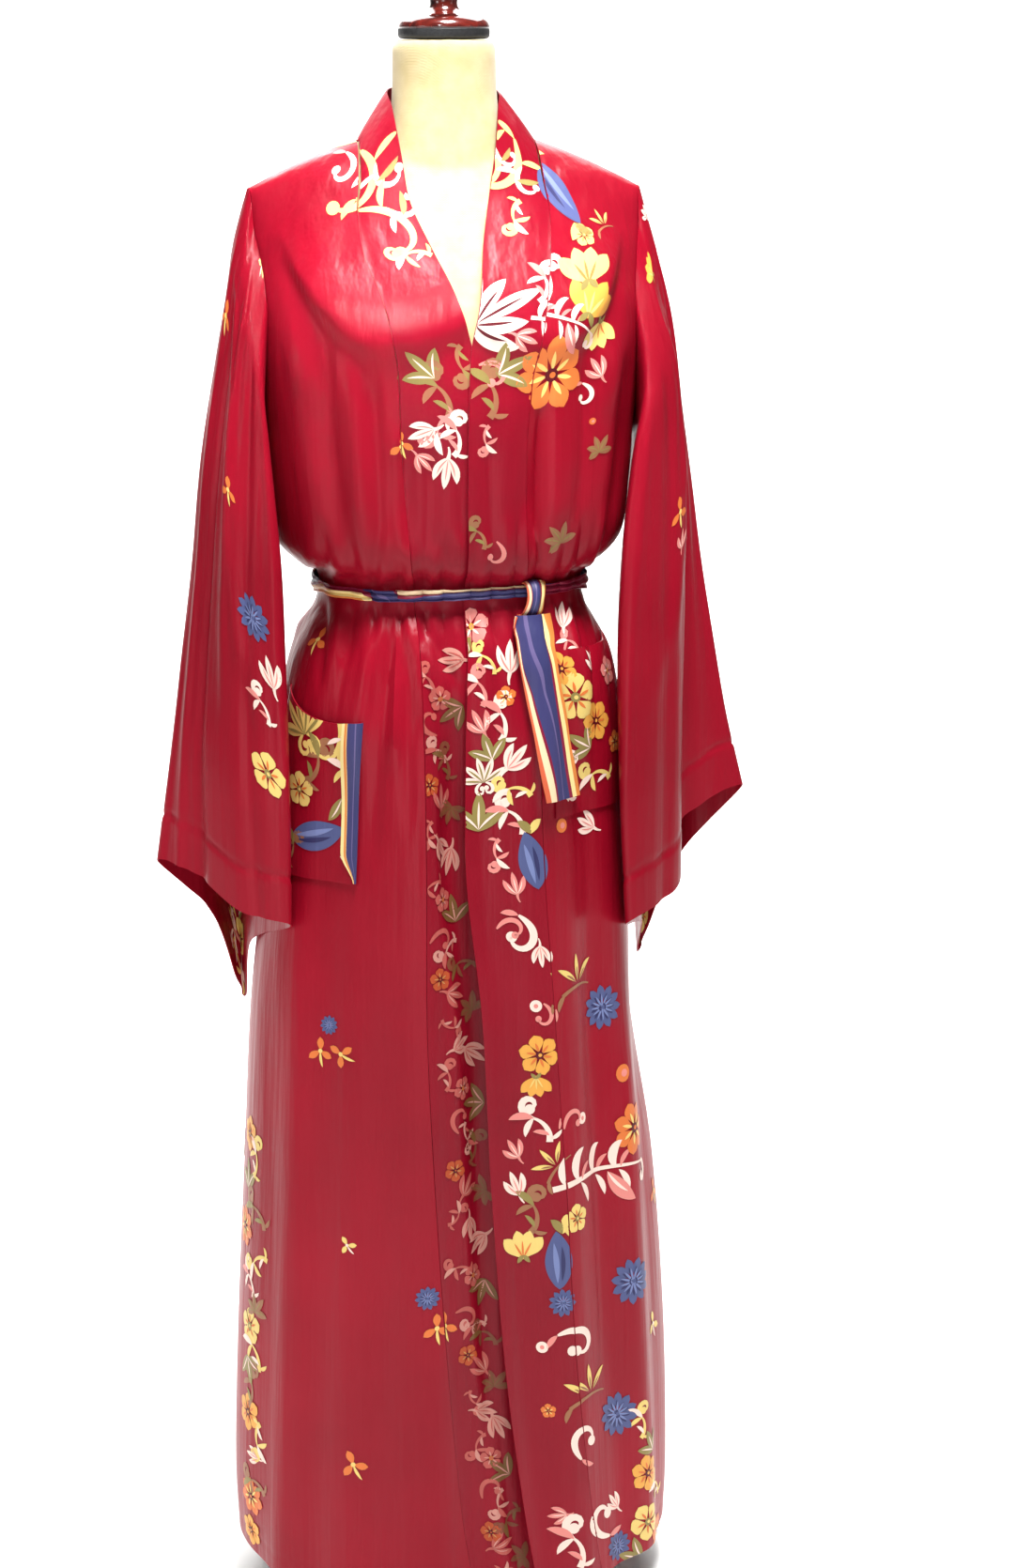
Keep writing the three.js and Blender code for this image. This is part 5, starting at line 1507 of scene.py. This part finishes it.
def turned(name, outline, materials, spans, y=0, around=96):
    # A piece turned round an upright line: radius and height for each point, a material for each span.
    radius, height = np.array(outline, float).T
    turn = np.linspace(0, 2 * pi, around, endpoint=False)
    rings = np.stack([radius[:, None] * np.cos(turn), radius[:, None] * np.sin(turn) + y,
                      np.broadcast_to(height[:, None], (len(radius), around))], axis=-1)
    mesh = ringStack(name, rings)
    for material in materials:
        mesh.materials.append(material)
    for face in mesh.polygons:
        row = face.index // around
        capSpan = spans[0] if row == len(spans) else spans[-1]
        face.material_index = spans[row] if row < len(spans) else capSpan
    finishMesh(mesh, 38)
    return addPiece(name, mesh)


def smoothOutline(points, steps=6):
    rows = np.array(points, float)
    return columnAt(rows, np.linspace(0, len(rows) - 1, (len(rows) - 1) * steps + 1))


linenCover = linen("linen")
capWood, blackEdge = polishedWood("cap_wood"), blackIron("black_edge")
steel, iron = brushedSteel("pole_steel"), blackIron("base_iron")

capSet = {"radius": 43, "edge": 9, "z": 1556.3, "y": 5, "knobNeck": 13, "knob": 20}


def makeCap():
    radius, edge, knobNeck, knob = (capSet[key] for key in ("radius", "edge", "knobNeck", "knob"))
    rim = [(radius - 5, 0), (radius - 1.6, 0.7), (radius - 0.2, 2.6), (radius, 5), (radius, edge)]
    wood = smoothOutline([(radius - 0.6, edge + 0.6), (radius, edge + 3), (radius - 3, edge + 8),
                          (radius - 11, edge + 12.5),
                          (radius - 22, edge + 15), (knobNeck + 3, edge + 17), (knobNeck, edge + 22),
                          (knobNeck + 1, edge + 29), (knob - 2, edge + 37), (knob, edge + 46),
                          (knob - 4, edge + 57),
                          (9, edge + 65), (1.2, edge + 67)])
    outline = [(r, h + capSet["z"]) for r, h in rim] + [(r, h + capSet["z"]) for r, h in wood]
    spans = [1] * len(rim) + [0] * (len(wood) - 1)
    return turned("form_neck_cap", outline, [capWood, blackEdge], spans, y=capSet["y"])


baseOutline = [(128, 0), (131, 0.8), (132, 2.6), (132, 10.6), (130.6, 12.8), (127, 14), (60, 17.6),
               (30, 20.4),
               (25, 23.5), (22, 28.4), (20, 30), (13, 30)]


poleSet = {"radius": 12.5, "edge": 0.6, "bottom": 30.3, "top": 780 - 0.3, "edgeHeight": 0.7}


def makeStand():
    base = turned("stand_plate", baseOutline, [iron], [0] * (len(baseOutline) - 1))
    radius, inner = poleSet["radius"], poleSet["radius"] - poleSet["edge"]
    bottom, top, edge = poleSet["bottom"], poleSet["top"], poleSet["edgeHeight"]
    outline = [(inner, bottom), (radius, bottom + edge), (radius, top - edge), (inner, top)]
    pole = turned("stand_tube", outline, [steel], [0] * 3, around=64)
    return base, pole


pieces["form_body"] = makeForm()
pieces["form_cap"] = makeCap()
pieces["stand_base"], pieces["stand_pole"] = makeStand()
print("dress form and stand made")

for node, piece in pieces.items():
    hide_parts(node)


# Floor, backdrop and light.

# In metres.
stageSet = {"wide": 7.0, "front": -4.5, "back": 6.8, "high": 5.0, "curveRadius": 1.6, "steps": 24}


def makeStage():
    back, radius = stageSet["back"], stageSet["curveRadius"]
    bend = [(back - radius + radius * sin(a), radius - radius * cos(a))
            for a in np.linspace(0, pi / 2, stageSet["steps"])]
    profile = [(stageSet["front"], 0.0)] + bend + [(back, stageSet["high"])]
    vertices = [(side * stageSet["wide"], y, z) for y, z in profile for side in (-1, 1)]
    faces = [(2 * i, 2 * i + 1, 2 * i + 3, 2 * i + 2) for i in range(len(profile) - 1)]
    mesh = bpy.data.meshes.new("backdrop")
    mesh.from_pydata(vertices, [], faces)
    mesh.materials.append(palePaint("pale_paint"))
    finishMesh(mesh)
    backdrop = bpy.data.objects.new("backdrop", mesh)
    scene.collection.objects.link(backdrop)


lights = (
    {"name": "key", "place": (0.15, -0.72, 3.25), "aim": (0, 0, 1.1), "size": 0.7, "power": 128},
    {"name": "chest", "place": (-0.4, -1.2, 2.2), "aim": (-0.03, -0.1, 1.37), "size": 0.15, "power": 0.35,
     "spread": 16},
    {"name": "fill", "place": (-0.6, -2.7, 0.6), "aim": (0, 0, 0.5), "size": 1.0, "power": 10},
    {"name": "right", "place": (2.4, -1.4, 1.8), "aim": (0, 0, 0.8), "size": 0.7, "power": 2},
    {"name": "left", "place": (-2.3, -1.2, 1.4), "aim": (0, 0, 0.8), "size": 0.7, "power": 9},
    {"name": "backdrop", "place": (0, 3.5, 3.8), "aim": (0, 3.7, 0), "size": 4.6, "power": 440},
    {"name": "wall", "place": (0, 5.2, 4.6), "aim": (0, 6.8, 1.2), "size": 2.5, "power": 230},
)
worldLight = 0.12


def makeLights():
    for light in lights:
        data = bpy.data.lights.new(light["name"], "AREA")
        data.shape = "SQUARE"
        data.size = light["size"]
        data.energy = light["power"]
        data.spread = radians(light.get("spread", 180))
        lamp = bpy.data.objects.new(light["name"], data)
        lamp.location = light["place"]
        toAim = Vector(light["aim"]) - Vector(light["place"])
        lamp.rotation_euler = toAim.to_track_quat("-Z", "Y").to_euler()
        scene.collection.objects.link(lamp)
    world = bpy.data.worlds.new("studio")
    world.use_nodes = True
    world.node_tree.nodes["Background"].inputs["Color"].default_value = (1, 1, 1, 1)
    world.node_tree.nodes["Background"].inputs["Strength"].default_value = worldLight
    scene.world = world


makeStage()
makeLights()
scene.view_settings.view_transform = "Standard"
print("stage and lights made")


# What the cloth is cut from.

# Width and length in metres, and the area where the cut isn't a rectangle. A sleeve is one
# piece that goes all round.
cuts = {
    "back": {"flat": (0.64, 1.46), "area": 0.74, "held": "draped", "on": "dress_form"},
    "right_front": {"flat": (0.33, 1.46), "area": 0.32, "held": "draped", "on": "dress_form"},
    "left_front": {"flat": (0.21, 1.46), "area": 0.26, "held": "draped", "on": "dress_form"},
    "right_sleeve": {"flat": (0.64, 0.63), "area": 0.26, "held": "hung", "on": "dress_form"},
    "left_sleeve": {"flat": (0.67, 0.61), "area": 0.27, "held": "hung", "on": "dress_form"},
    "neckband": {"flat": (0.08, 3.24), "area": 0.22, "held": "draped", "on": "dress_form"},
    "right_pocket": {"flat": (0.116, 0.16), "held": "laid", "on": "robe_right_front"},
    "left_pocket": {"flat": (0.129, 0.16), "held": "laid", "on": "robe_left_front"},
    "right_pocket_trim": {"flat": (0.027, 0.157), "area": 0.0036, "held": "laid",
                          "on": "robe_right_pocket"},
    "left_pocket_trim": {"flat": (0.016, 0.16), "area": 0.0021, "held": "laid", "on": "robe_left_pocket"},
    "belt": {"flat": (0.026, 0.82), "area": 0.018, "held": "draped", "on": "robe_neckband"},
    "belt_knot": {"flat": (0.026, 0.052), "held": "folded", "on": "robe_belt"},
    "belt_tail": {"flat": (0.046, 0.18), "area": 0.008, "held": "hung", "on": "robe_belt_knot"},
}
for node, cut in cuts.items():
    piece = pieces[node]
